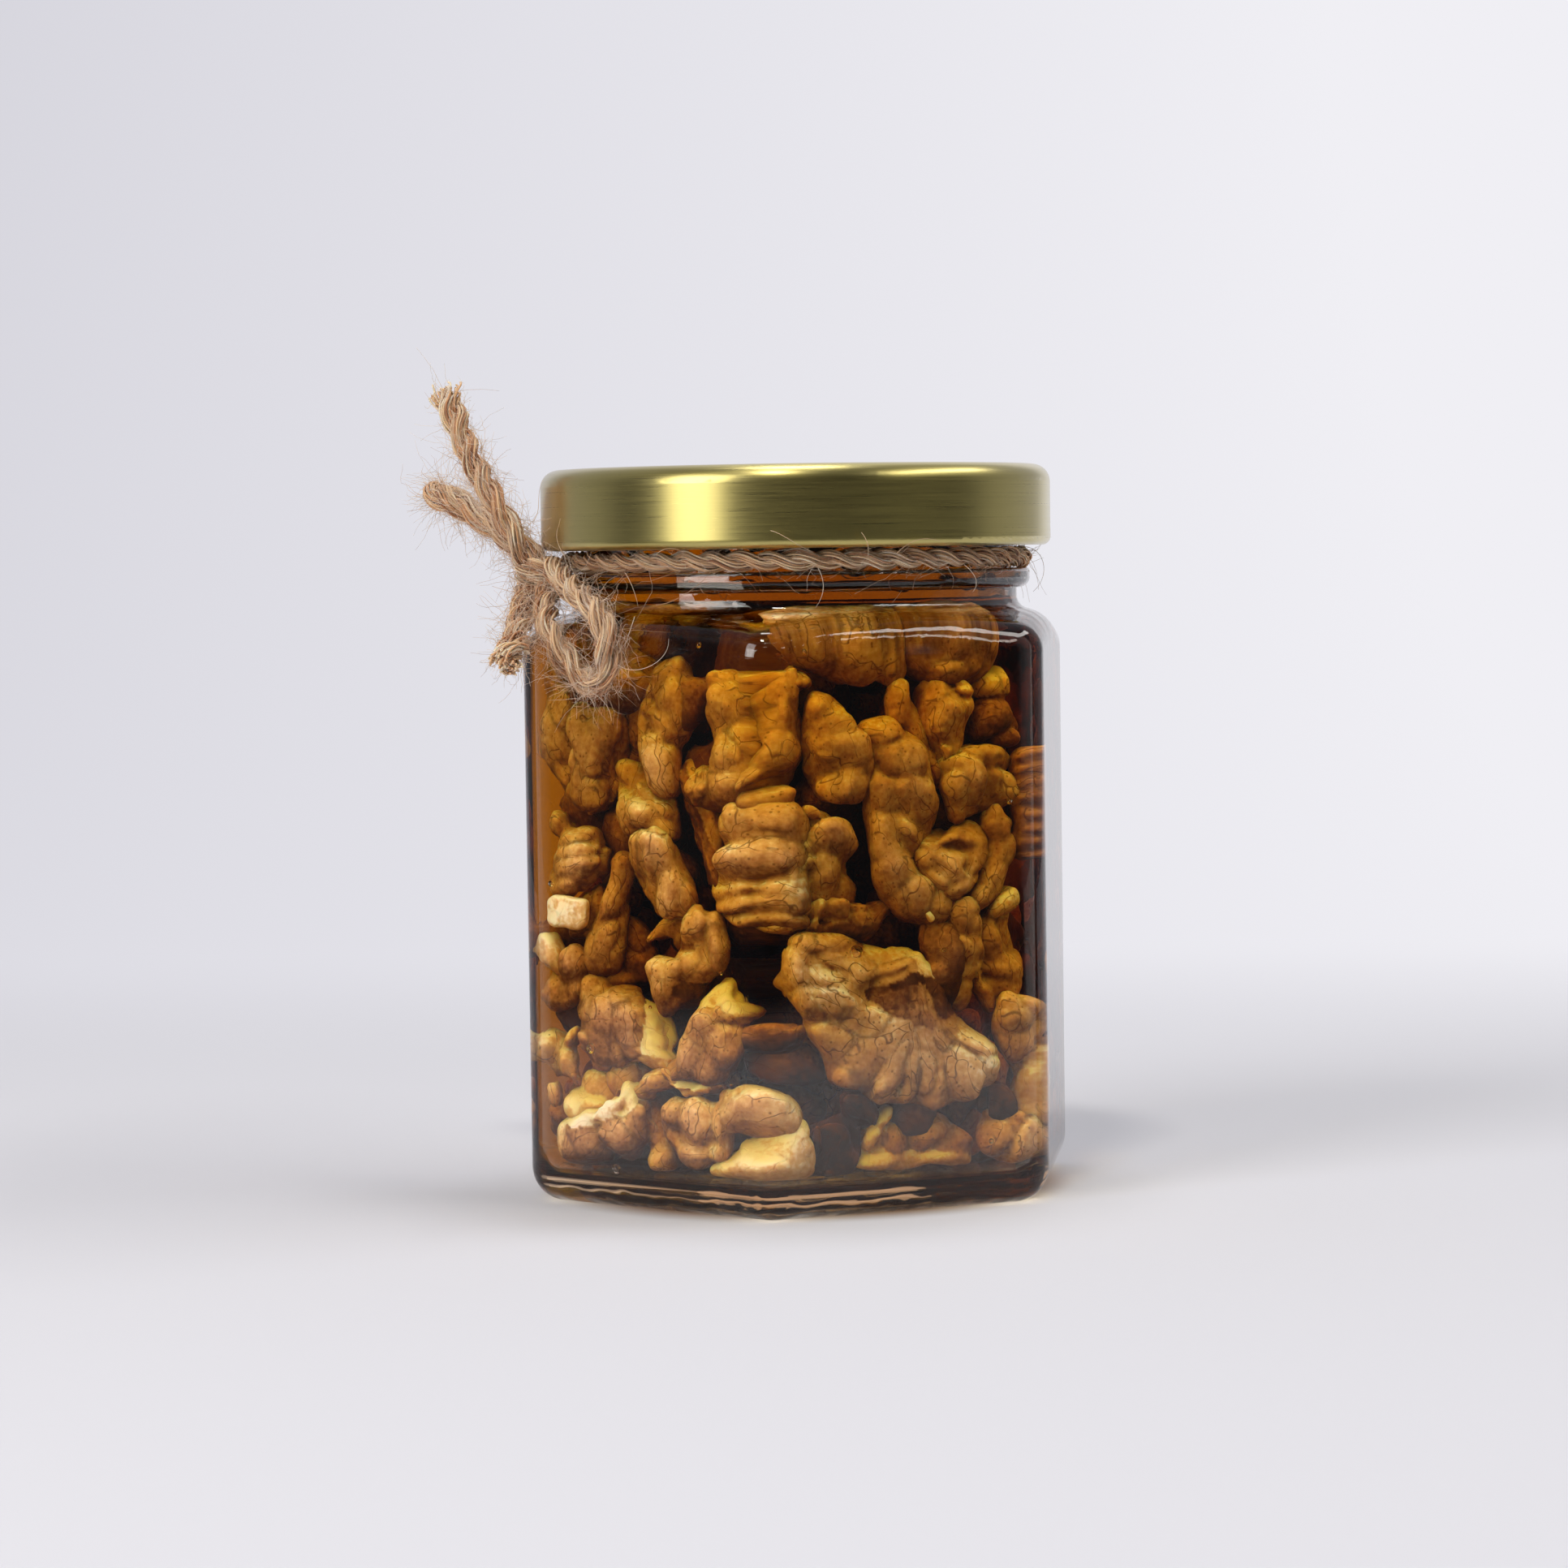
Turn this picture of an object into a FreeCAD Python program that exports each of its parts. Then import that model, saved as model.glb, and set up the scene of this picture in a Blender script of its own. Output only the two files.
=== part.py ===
"""A hexagonal glass jar of honey with a twist-off lid and a jute bow round its neck.

Millimetres, +Z up. The origin is the centre of the foot that the jar stands on, and one
upright edge of the hexagon points along -Y. Every size is a cell of the sheet "Sizes".
"""
import FreeCAD, Part

import math
import os

import Sketcher

Vector = FreeCAD.Vector

# cell name: (value, what it is)
SIZES = {
    # the hexagonal body
    "jar_flats": (66.6, "outside width from flat to flat"),
    "body_height": (75.6, "height where the sloping shoulder meets the neck"),
    "corner_round": (5.0, "radius of the six upright edges"),
    "heel_round": (4.5, "radius from the walls into the foot"),
    "shoulder_slope": (17.0, "fall of the shoulder away from the neck, in degrees"),
    "shoulder_round": (4.0, "radius from the walls into the shoulder"),
    "wall_side": (2.3, "thickness of the walls"),
    "wall_base": (4.0, "thickness of the base at its edge"),
    "inner_heel": (3.0, "radius from the inner walls into the inner floor"),
    "inner_corner": (4.0, "radius of the six upright edges inside"),
    # the push-up under the base and the rise of the floor above it
    "foot_land": (4.0, "width of the ring that the jar stands on, at its flats"),
    "foot_step": (0.5, "depth of the step at the edge of the push-up"),
    "push_up": (1.2, "depth of the push-up at the centre"),
    "floor_rise": (0.9, "rise of the inner floor at the centre"),
    # the neck and the finish that the lid closes on
    "finish_inset": (3.15, "how far the finish, without its threads, is inside the flats"),
    "finish_wall": (3.9, "thickness of the finish"),
    "neck_inset": (1.35, "how far the neck is inside the finish"),
    "neck_height": (2.3, "neck between shoulder and bead"),
    "neck_flare": (1.8, "radius from the shoulder into the neck"),
    "bead_stand": (0.35, "how far the transfer bead stands out past the finish"),
    "bead_height": (2.6, "height of the transfer bead"),
    "bead_under": (1.4, "radius under the bead"),
    "bead_over": (0.5, "radius on top of the bead"),
    "groove_inset": (2.0, "how far the groove over the bead is inside the finish"),
    "groove_height": (2.9, "from the bead's top to the lid's lower edge"),
    "groove_slope": (1.6, "height of the slope from the groove out to the finish"),
    "rim_round": (0.95, "radius on the rim's outer and inner edges"),
    # the twist-off lid
    "lid_height": (10.5, "overall height of the lid"),
    "lid_sheet": (0.25, "thickness of the tinplate"),
    "lid_corner": (2.3, "radius from the top into the skirt"),
    "curl_radius": (1.1, "radius of the curl at the lower edge"),
    "curl_leg": (0.8, "height of the curl's inner leg"),
    "channel_width": (6.6, "width of the raised ring at the edge of the top"),
    "panel_drop": (0.6, "how far the centre panel lies under the raised ring"),
    "panel_step": (0.7, "width of the slope from the ring down to the panel"),
    "button_radius": (9.0, "radius of the safety button"),
    "button_rise": (0.35, "rise of the safety button"),
    "button_step": (0.8, "width of the slope round the button"),
    "lug_count": (4, "number of lugs"),
    "lug_gap": (0.45, "from the glass finish to the lugs"),
    "lug_reach": (0.45, "how far a lug reaches in past the curl"),
    "lug_width": (9.0, "width of a lug"),
    "lug_height": (1.0, "height of a lug"),
    # the sealing compound and the contents
    "liner_thick": (0.8, "thickness of the sealing ring"),
    "liner_inside": (1.0, "from the raised ring's inner edge out to the sealing ring"),
    "liner_outside": (0.15, "from the sealing ring out to the lid's corner"),
    "headspace": (3.0, "from the honey up to the lid's panel"),
    # the jute twine
    "twine_diameter": (2.2, "diameter of the twine"),
    "knot_angle": (199.0, "direction of the knot from the jar's axis, in degrees"),
    "knot_out": (3.6, "from the middle of the wrap out to the knot's centre"),
    "knot_gap": (0.2, "from the top of the knot up to the lid's lower edge"),
    "knot_length": (7.0, "length of the knot along the neck"),
    "knot_depth": (5.8, "thickness of the knot outwards"),
    "knot_height": (4.6, "height of the knot"),
    "band_radius": (1.7, "radius of the turn that binds the bow, to its middle"),
}

# Heights and radii that follow from the sheet.
FINISH = "(Sizes.jar_flats / 2 - Sizes.finish_inset)"
NECK = f"({FINISH} - Sizes.neck_inset)"
GROOVE = f"({FINISH} - Sizes.groove_inset)"
BEAD = f"({FINISH} + Sizes.bead_stand)"
MOUTH = f"({FINISH} - Sizes.finish_wall)"
BEAD_FOOT = "(Sizes.body_height + Sizes.neck_height)"
BEAD_TOP = f"({BEAD_FOOT} + Sizes.bead_height)"
LID_FOOT = f"({BEAD_TOP} + Sizes.groove_height)"
LID_TOP = f"({LID_FOOT} + Sizes.lid_height)"
LID_RADIUS = f"({FINISH} + Sizes.lug_gap + Sizes.lug_reach + 2 * Sizes.curl_radius)"
LID_RING = f"({LID_RADIUS} - Sizes.lid_corner - Sizes.channel_width)"
PANEL_TOP = f"({LID_TOP} - Sizes.panel_drop)"
RIM = f"({LID_TOP} - Sizes.lid_sheet - Sizes.liner_thick)"
FILL = f"({PANEL_TOP} - Sizes.lid_sheet - Sizes.headspace)"
INNER_FLATS = "(Sizes.jar_flats - 2 * Sizes.wall_side)"
INNER_ROOT = (
    f"(Sizes.body_height + ({NECK} - {MOUTH}) * tan(Sizes.shoulder_slope)"
    " - Sizes.wall_side / cos(Sizes.shoulder_slope))"
)
WRAP = f"({GROOVE} + Sizes.twine_diameter / 2)"
WRAP_HEIGHT = f"({BEAD_TOP} + Sizes.twine_diameter / 2)"
KNOT = f"({WRAP} + Sizes.knot_out)"
KNOT_HEIGHT = f"({LID_FOOT} - Sizes.knot_gap - Sizes.band_radius - Sizes.twine_diameter / 2)"
CLEAR_OF_JAR = "Sizes.jar_flats"

# Points of each free stretch of twine, from the knot's centre: outwards from the jar,
# along the neck towards the front edge, and up.
ROUTES = {
    "twine_loop_front": [
        (0.0, 1.2, 1.3),
        (-0.4, 6.0, 0.2),
        (-1.2, 12.2, -2.0),
        (-2.4, 18.0, -3.4),
        (-3.4, 22.2, -5.4),
        (-3.8, 23.6, -8.8),
        (-3.8, 22.6, -11.8),
        (-3.0, 20.2, -14.0),
        (-1.5, 17.6, -13.2),
        (0.6, 16.0, -10.2),
        (2.2, 12.4, -6.8),
        (1.4, 6.6, -3.6),
        (-0.2, 1.2, -1.2),
    ],
    "twine_loop_rear": [
        (0.2, -1.2, 1.3),
        (3.0, -4.8, 4.0),
        (6.4, -8.4, 6.8),
        (9.8, -12.6, 9.2),
        (12.2, -16.8, 10.8),
        (12.0, -20.6, 11.2),
        (9.0, -22.6, 10.4),
        (5.6, -20.8, 8.4),
        (3.0, -16.0, 5.8),
        (1.6, -10.4, 2.6),
        (0.6, -5.6, 0.0),
        (0.0, -1.2, -1.2),
    ],
    "twine_tail_rear": [
        (1.4, 0.4, 0.8),
        (4.0, 1.0, 4.6),
        (6.2, -0.8, 9.0),
        (8.2, -4.2, 13.2),
        (9.8, -8.6, 18.6),
        (11.2, -13.6, 24.6),
    ],
    "twine_tail_front": [
        (1.8, 0.4, -1.0),
        (4.2, 4.4, -4.2),
        (5.4, 10.2, -6.8),
        (6.6, 15.8, -9.0),
        (9.0, 21.2, -11.0),
    ],
}
ARC_SHARE = 0.45


def make_sheet(doc):
    """The sheet of driving dimensions, one named cell each."""
    sheet = doc.addObject("Spreadsheet::Sheet", "Sizes")
    for row, (name, (value, meaning)) in enumerate(SIZES.items(), start=1):
        sheet.set(f"A{row}", meaning)
        sheet.set(f"B{row}", str(value))
        sheet.setAlias(f"B{row}", name)
    doc.recompute()
    return sheet


def value_of(doc, expression):
    """What an expression of the sheet's cells comes to, as a plain number."""
    result = doc.Sizes.evalExpression(expression)
    return float(getattr(result, "Value", result))


def new_sketch(body, name, role, height=None):
    """A sketch on one of the body's own planes, raised by an expression if one is given."""
    plane = next(f for f in body.Origin.OriginFeatures if f.Role == role)
    sketch = body.newObject("Sketcher::SketchObject", name)
    sketch.AttachmentSupport = [(plane, "")]
    sketch.MapMode = "FlatFace"
    if height:
        sketch.setExpression("AttachmentOffset.Base.z", height)
    return sketch


def drive(sketch, constraint, name, expression):
    """Adds a named dimension to a sketch and binds it to an expression."""
    index = sketch.addConstraint(constraint)
    sketch.renameConstraint(index, name)
    sketch.setExpression(f"Constraints.{name}", expression)


def place_point(sketch, edge, end, name, across, up):
    """Holds one end of an edge at two expressions; "0" puts it on an axis."""
    doc = sketch.Document
    for kind, axis, expression in (("X", -2, across), ("Y", -1, up)):
        if expression == "0":
            sketch.addConstraint(Sketcher.Constraint("PointOnObject", edge, end, axis))
            continue
        held = Sketcher.Constraint(f"Distance{kind}", -1, 1, edge, end, value_of(doc, expression))
        drive(sketch, held, f"{name}_{kind}", expression)


def arc_between(start, end, radius, bulge):
    """An arc of a given radius; bulge 1 turns left on its way from start to end, -1 right."""
    chord = end - start
    rise = math.sqrt(max(radius**2 - chord.Length**2 / 4, 0))
    side = Vector(-chord.y, chord.x, 0).normalize() * bulge
    centre = (start + end) / 2 + side * rise
    first, last = (start, end) if bulge > 0 else (end, start)
    angles = [math.atan2(p.y - centre.y, p.x - centre.x) for p in (first, last)]
    circle = Part.Circle(centre, Vector(0, 0, 1), radius)
    return Part.ArcOfCircle(circle, *angles)


def draw_profile(sketch, corners):
    """Closes a loop through corners, each (across, up) or (across, up, radius, bulge).

    The radius and bulge belong to the arc that leaves that corner for the next one.
    """
    doc = sketch.Document
    points = [Vector(value_of(doc, c[0]), value_of(doc, c[1]), 0) for c in corners]
    ends = []
    for i, corner in enumerate(corners):
        start, end = points[i], points[(i + 1) % len(points)]
        if len(corner) == 2:
            edge = sketch.addGeometry(Part.LineSegment(start, end), False)
            ends.append((edge, 1, 2))
            continue
        radius, bulge = corner[2:]
        edge = sketch.addGeometry(arc_between(start, end, value_of(doc, radius), bulge), False)
        ends.append((edge, 1, 2) if bulge > 0 else (edge, 2, 1))
    for i, (edge, _, last) in enumerate(ends):
        following, first, _ = ends[(i + 1) % len(ends)]
        sketch.addConstraint(Sketcher.Constraint("Coincident", edge, last, following, first))
    for i, corner in enumerate(corners):
        edge, first, _ = ends[i]
        place_point(sketch, edge, first, f"p{i}", corner[0], corner[1])
        if len(corner) == 4:
            held = Sketcher.Constraint("Radius", edge, value_of(doc, corner[2]))
            drive(sketch, held, f"r{i}", corner[2])


def draw_hexagon(sketch, flats):
    """A regular hexagon round the origin with one corner on the sketch's vertical axis."""
    radius = value_of(sketch.Document, flats) / math.sqrt(3)
    turn = [math.radians(90 + 60 * k) for k in range(6)]
    points = [Vector(radius * math.cos(a), radius * math.sin(a), 0) for a in turn]
    circle = Part.Circle(Vector(), Vector(0, 0, 1), radius)
    guide = sketch.addGeometry(circle, True)
    sketch.addConstraint(Sketcher.Constraint("Coincident", guide, 3, -1, 1))
    drive(sketch, Sketcher.Constraint("Radius", guide, radius), "corners", f"{flats} / sqrt(3)")
    sides = [
        sketch.addGeometry(Part.LineSegment(points[k], points[(k + 1) % 6]), False)
        for k in range(6)
    ]
    for k, side in enumerate(sides):
        following = sides[(k + 1) % 6]
        sketch.addConstraint(Sketcher.Constraint("Coincident", side, 2, following, 1))
        sketch.addConstraint(Sketcher.Constraint("PointOnObject", side, 1, guide))
        if k:
            sketch.addConstraint(Sketcher.Constraint("Equal", sides[0], side))
    sketch.addConstraint(Sketcher.Constraint("PointOnObject", sides[0], 1, -2))


def turned(body, kind, name, corners):
    """A revolved solid or cut about Z, from a profile of radii and heights."""
    sketch = new_sketch(body, f"{name}_profile", "XZ_Plane")
    draw_profile(sketch, corners)
    before = body.Shape.Volume if body.Tip else 0
    feature = body.newObject(f"PartDesign::{kind}", name)
    feature.Profile = sketch
    feature.ReferenceAxis = (sketch, ["V_Axis"])
    feature.Angle = 360
    body.Document.recompute()
    if kind == "Groove" and not feature.Shape.Volume < before:
        raise SystemExit(f"{name} cuts nothing")
    return feature


def padded(body, name, sketch, length):
    """A sketch pushed up by an expression."""
    pad = body.newObject("PartDesign::Pad", name)
    pad.Profile = sketch
    pad.setExpression("Length", length)
    body.Document.recompute()
    return pad


def rounded(body, name, base, wanted, radius):
    """A fillet on the edges of a feature that the test picks."""
    edges = [f"Edge{i}" for i, edge in enumerate(base.Shape.Edges, start=1) if wanted(edge)]
    fillet = body.newObject("PartDesign::Fillet", name)
    fillet.Base = (base, edges)
    fillet.setExpression("Radius", radius)
    body.Document.recompute()
    return fillet


def is_upright(edge):
    """True for a straight edge along Z."""
    return edge.BoundBox.XLength < 1e-4 and edge.BoundBox.YLength < 1e-4


def middle_radius(edge):
    """How far the middle of an edge is from the Z axis."""
    first, last = edge.ParameterRange
    middle = edge.valueAt((first + last) / 2)
    return math.hypot(middle.x, middle.y)


def hexagonal_bottle(doc, name, flats, floor, corner, heel, edge_round, upper_profile):
    """A hexagonal prism whose top is turned down to a neck, with rounded edges.

    upper_profile is the region that the turning takes away, as draw_profile's corners.
    """
    body = doc.addObject("PartDesign::Body", name)
    outline = new_sketch(body, f"{name}_outline", "XY_Plane", floor)
    draw_hexagon(outline, flats)
    prism = padded(body, f"{name}_prism", outline, f"{RIM} - {floor}")
    prism = rounded(body, f"{name}_corners", prism, is_upright, corner)
    foot = value_of(doc, floor)
    necked = turned(body, "Groove", f"{name}_neck", upper_profile)
    within = value_of(doc, f"({flats}) / 2") - 0.01

    def on_heel(edge):
        return abs(edge.BoundBox.ZMax - foot) < 1e-4

    def on_shoulder(edge):
        at_walls = middle_radius(edge) > within
        return at_walls and not is_upright(edge) and not on_heel(edge)

    heeled = rounded(body, f"{name}_heel", necked, on_heel, heel)
    rounded(body, f"{name}_shoulder", heeled, on_shoulder, edge_round)
    return body


def slope_corner(radius, root_radius, root_height):
    """The corner at a radius on the shoulder's slope, which falls away from its root."""
    return (radius, f"{root_height} - ({radius} - {root_radius}) * tan(Sizes.shoulder_slope)")


def flare_corners(root_radius, root_height, radius):
    """The arc from the shoulder's slope into the upright neck, as two corners."""
    reach = f"({radius}) * tan((90 - Sizes.shoulder_slope) / 2)"
    foot = f"{root_radius} + {reach} * cos(Sizes.shoulder_slope)"
    return [
        (*slope_corner(f"({foot})", root_radius, root_height), radius, -1),
        (root_radius, f"{root_height} + {reach}"),
    ]


def dome_radius(edge, rise):
    """The radius of a dome from how far out its edge is and how much it rises."""
    return f"({edge}^2 + {rise}^2) / (2 * {rise})"


def make_outside(doc):
    """The jar's outside: hexagon, shoulder, neck, transfer bead, groove and finish."""
    over = f"({RIM} + 1)"
    upper = [
        slope_corner(CLEAR_OF_JAR, NECK, "Sizes.body_height"),
        *flare_corners(NECK, "Sizes.body_height", "Sizes.neck_flare"),
        (NECK, BEAD_FOOT),
        (f"{BEAD} - Sizes.bead_under", BEAD_FOOT, "Sizes.bead_under", 1),
        (BEAD, f"{BEAD_FOOT} + Sizes.bead_under"),
        (BEAD, f"{BEAD_TOP} - Sizes.bead_over", "Sizes.bead_over", 1),
        (f"{BEAD} - Sizes.bead_over", BEAD_TOP),
        (GROOVE, BEAD_TOP),
        (GROOVE, LID_FOOT),
        (FINISH, f"{LID_FOOT} + Sizes.groove_slope"),
        (FINISH, f"{RIM} - Sizes.rim_round", "Sizes.rim_round", 1),
        (f"{FINISH} - Sizes.rim_round", RIM),
        (f"{FINISH} - Sizes.rim_round", over),
        (CLEAR_OF_JAR, over),
    ]
    body = hexagonal_bottle(
        doc,
        "glass_outside",
        "Sizes.jar_flats",
        "0",
        "Sizes.corner_round",
        "Sizes.heel_round",
        "Sizes.shoulder_round",
        upper,
    )
    recess = "(Sizes.jar_flats / 2 - Sizes.heel_round - Sizes.foot_land)"
    dome_edge = f"({recess} - Sizes.foot_step)"
    under = [
        ("0", "-1 * Sizes.foot_step"),
        (recess, "-1 * Sizes.foot_step"),
        (recess, "0"),
        (dome_edge, "Sizes.foot_step", dome_radius(dome_edge, "(Sizes.push_up - Sizes.foot_step)"), 1),
        ("0", "Sizes.push_up"),
    ]
    turned(body, "Groove", "push_up_cut", under)
    return body


def make_cavity(doc):
    """The room inside the jar, from its floor to the mouth."""
    over = f"({RIM} + 1)"
    upper = [
        slope_corner(CLEAR_OF_JAR, MOUTH, INNER_ROOT),
        *flare_corners(MOUTH, INNER_ROOT, "(Sizes.neck_flare + Sizes.wall_side)"),
        (MOUTH, f"{RIM} - Sizes.rim_round", "Sizes.rim_round", -1),
        (f"{MOUTH} + Sizes.rim_round", RIM),
        (f"{MOUTH} + Sizes.rim_round", over),
        (CLEAR_OF_JAR, over),
    ]
    body = hexagonal_bottle(
        doc,
        "jar_room",
        INNER_FLATS,
        "Sizes.wall_base",
        "Sizes.inner_corner",
        "Sizes.inner_heel",
        "(Sizes.shoulder_round - Sizes.wall_side)",
        upper,
    )
    edge = f"({INNER_FLATS} / 2 - Sizes.inner_heel)"
    floor = [
        ("0", "Sizes.wall_base - 1"),
        (edge, "Sizes.wall_base - 1"),
        (edge, "Sizes.wall_base", dome_radius(edge, "Sizes.floor_rise"), 1),
        ("0", "Sizes.wall_base + Sizes.floor_rise"),
    ]
    turned(body, "Groove", "floor_dome", floor)
    return body


def make_glass(doc, outside, room):
    """The moulded glass: its outside less the room inside."""
    glass = doc.addObject("Part::Cut", "glass_jar")
    glass.Base = outside
    glass.Tool = room
    return glass


def make_honey(doc, room):
    """The contents, which fill the room up to their level."""
    level = doc.addObject("Part::Cylinder", "honey_level")
    level.setExpression("Radius", CLEAR_OF_JAR)
    level.setExpression("Height", FILL)
    honey = doc.addObject("Part::Common", "honey")
    honey.Base = room
    honey.Tool = level
    return honey


def make_lid(doc):
    """The twist-off lid: panel, button, raised ring, skirt, curl and lugs."""
    body = doc.addObject("PartDesign::Body", "lid")
    sheet = "Sizes.lid_sheet"
    curl = "Sizes.curl_radius"
    inner_curl = f"({curl} - {sheet})"
    corner = "Sizes.lid_corner"
    inner_corner = f"({corner} - {sheet})"
    button_top = f"({PANEL_TOP} + Sizes.button_rise)"
    curl_middle = f"({LID_RADIUS} - {curl})"
    curl_inside = f"({LID_RADIUS} - 2 * {curl})"
    curl_height = f"({LID_FOOT} + {curl})"
    leg_top = f"({curl_height} + Sizes.curl_leg)"
    section = [
        ("0", button_top),
        ("0", f"{button_top} - {sheet}"),
        ("Sizes.button_radius", f"{button_top} - {sheet}"),
        ("Sizes.button_radius + Sizes.button_step", f"{PANEL_TOP} - {sheet}"),
        (f"{LID_RING} - Sizes.panel_step + {sheet} / 2", f"{PANEL_TOP} - {sheet}"),
        (f"{LID_RING} + {sheet} / 2", f"{LID_TOP} - {sheet}"),
        (f"{LID_RADIUS} - {corner}", f"{LID_TOP} - {sheet}", inner_corner, -1),
        (f"{LID_RADIUS} - {sheet}", f"{LID_TOP} - {corner}"),
        (f"{LID_RADIUS} - {sheet}", curl_height, inner_curl, -1),
        (curl_middle, f"{LID_FOOT} + {sheet}", inner_curl, -1),
        (f"{curl_inside} + {sheet}", curl_height),
        (f"{curl_inside} + {sheet}", leg_top),
        (curl_inside, leg_top),
        (curl_inside, curl_height, curl, 1),
        (curl_middle, LID_FOOT, curl, 1),
        (LID_RADIUS, curl_height),
        (LID_RADIUS, f"{LID_TOP} - {corner}", corner, 1),
        (f"{LID_RADIUS} - {corner}", LID_TOP),
        (LID_RING, LID_TOP),
        (f"{LID_RING} - Sizes.panel_step", PANEL_TOP),
        ("Sizes.button_radius + Sizes.button_step", PANEL_TOP),
        ("Sizes.button_radius", button_top),
    ]
    turned(body, "Revolution", "lid_sheet_metal", section)
    add_lugs(body, curl_height, f"({curl_inside} + {sheet} / 2)")
    return body


def add_lugs(body, height, outer):
    """Tabs that reach in from the curl's leg, spaced evenly round it."""
    doc = body.Document
    inner = f"({FINISH} + Sizes.lug_gap)"
    sketch = new_sketch(body, "lug_outline", "XY_Plane", height)
    half = value_of(doc, "Sizes.lug_width / 2")
    centre = Vector()
    arcs = []
    for name, radius in (("inner", inner), ("outer", outer)):
        size = value_of(doc, radius)
        spread = math.asin(half / size)
        circle = Part.Circle(centre, Vector(0, 0, 1), size)
        arc = sketch.addGeometry(Part.ArcOfCircle(circle, -spread, spread), False)
        sketch.addConstraint(Sketcher.Constraint("Coincident", arc, 3, -1, 1))
        sketch.addConstraint(Sketcher.Constraint("Symmetric", arc, 1, arc, 2, -1))
        drive(sketch, Sketcher.Constraint("Radius", arc, size), name, radius)
        arcs.append((arc, size))
    for end, side in ((1, -half), (2, half)):
        across = [math.sqrt(size**2 - half**2) for _, size in arcs]
        line = Part.LineSegment(Vector(across[0], side, 0), Vector(across[1], side, 0))
        edge = sketch.addGeometry(line, False)
        sketch.addConstraint(Sketcher.Constraint("Coincident", edge, 1, arcs[0][0], end))
        sketch.addConstraint(Sketcher.Constraint("Coincident", edge, 2, arcs[1][0], end))
        if side > 0:
            sketch.addConstraint(Sketcher.Constraint("Horizontal", edge))
            held = Sketcher.Constraint("DistanceY", arcs[0][0], 1, arcs[0][0], 2, 2 * half)
            drive(sketch, held, "width", "Sizes.lug_width")
    lug = padded(body, "lug", sketch, "Sizes.lug_height")
    around = body.newObject("PartDesign::PolarPattern", "lugs")
    around.Originals = [lug]
    around.Axis = (sketch, ["N_Axis"])
    around.Angle = 360
    around.setExpression("Occurrences", "Sizes.lug_count")
    body.Tip = around
    doc.recompute()


def make_liner(doc):
    """The ring of sealing compound between the rim and the lid's raised ring."""
    body = doc.addObject("PartDesign::Body", "lid_liner")
    inside = f"({LID_RING} + Sizes.liner_inside)"
    outside = f"({LID_RADIUS} - Sizes.lid_corner - Sizes.liner_outside)"
    top = f"({RIM} + Sizes.liner_thick)"
    section = [(inside, RIM), (outside, RIM), (outside, top), (inside, top)]
    turned(body, "Revolution", "liner_ring", section)
    return body


def make_wrap(doc):
    """The turn of twine that lies in the groove, on the bead."""
    wrap = doc.addObject("Part::Torus", "twine_wrap")
    wrap.setExpression("Radius1", WRAP)
    wrap.setExpression("Radius2", "Sizes.twine_diameter / 2")
    wrap.setExpression("Placement.Base.z", WRAP_HEIGHT)
    return wrap


def knot_frame(doc):
    """The knot's centre and its directions: outwards, along the neck, and up."""
    turn = math.radians(value_of(doc, "Sizes.knot_angle"))
    out = Vector(math.cos(turn), math.sin(turn), 0)
    along = Vector(-math.sin(turn), math.cos(turn), 0)
    centre = out * value_of(doc, KNOT)
    centre.z = value_of(doc, KNOT_HEIGHT)
    return centre, out, along, Vector(0, 0, 1)


def place_at_knot(piece):
    """Binds a piece's place to the knot's centre, with its Y axis along the neck."""
    piece.setExpression("Placement.Base.x", f"{KNOT} * cos(Sizes.knot_angle)")
    piece.setExpression("Placement.Base.y", f"{KNOT} * sin(Sizes.knot_angle)")
    piece.setExpression("Placement.Base.z", KNOT_HEIGHT)


def make_knot(doc, outside, wrap):
    """The bow's knot: crossed strands bound by one turn, seated on the wrap and the bead."""
    turn = value_of(doc, "Sizes.knot_angle")
    core = doc.addObject("Part::Ellipsoid", "knot_core")
    core.setExpression("Radius1", "Sizes.knot_height / 2")
    core.setExpression("Radius2", "Sizes.knot_depth / 2")
    core.setExpression("Radius3", "Sizes.knot_length / 2")
    core.Placement.Rotation = FreeCAD.Rotation(Vector(0, 0, 1), turn)
    band = doc.addObject("Part::Torus", "knot_band")
    band.setExpression("Radius1", "Sizes.band_radius")
    band.setExpression("Radius2", "Sizes.twine_diameter / 2")
    upright = FreeCAD.Rotation(Vector(1, 0, 0), 90)
    band.Placement.Rotation = FreeCAD.Rotation(Vector(0, 0, 1), turn).multiply(upright)
    for piece in (core, band):
        place_at_knot(piece)
    joined = doc.addObject("Part::Fuse", "knot_joined")
    joined.Base = core
    joined.Tool = band
    seated = doc.addObject("Part::Cut", "knot_off_glass")
    seated.Base = joined
    seated.Tool = outside
    knot = doc.addObject("Part::Cut", "twine_knot")
    knot.Base = seated
    knot.Tool = wrap
    return knot


def route_path(name, points):
    """Straight runs joined by tangent arcs, each arc as large as its runs allow."""
    edges = []
    start = points[0]
    radii = []
    for before, corner, after in zip(points, points[1:], points[2:]):
        back, ahead = before - corner, after - corner
        half_turn = (math.pi - back.getAngle(ahead)) / 2
        trim = ARC_SHARE * min(back.Length, ahead.Length)
        radii.append(trim / math.tan(half_turn))
        first = corner + back.normalize() * trim
        last = corner + ahead.normalize() * trim
        to_centre = (back + ahead).normalize()
        inward = radii[-1] / math.cos(half_turn) - radii[-1]
        edges.append(Part.makeLine(start, first))
        edges.append(Part.Arc(first, corner + to_centre * inward, last).toShape())
        start = last
    edges.append(Part.makeLine(start, points[-1]))
    print(name, "bend radii", [round(r, 1) for r in radii])
    return Part.Wire(edges)


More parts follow.
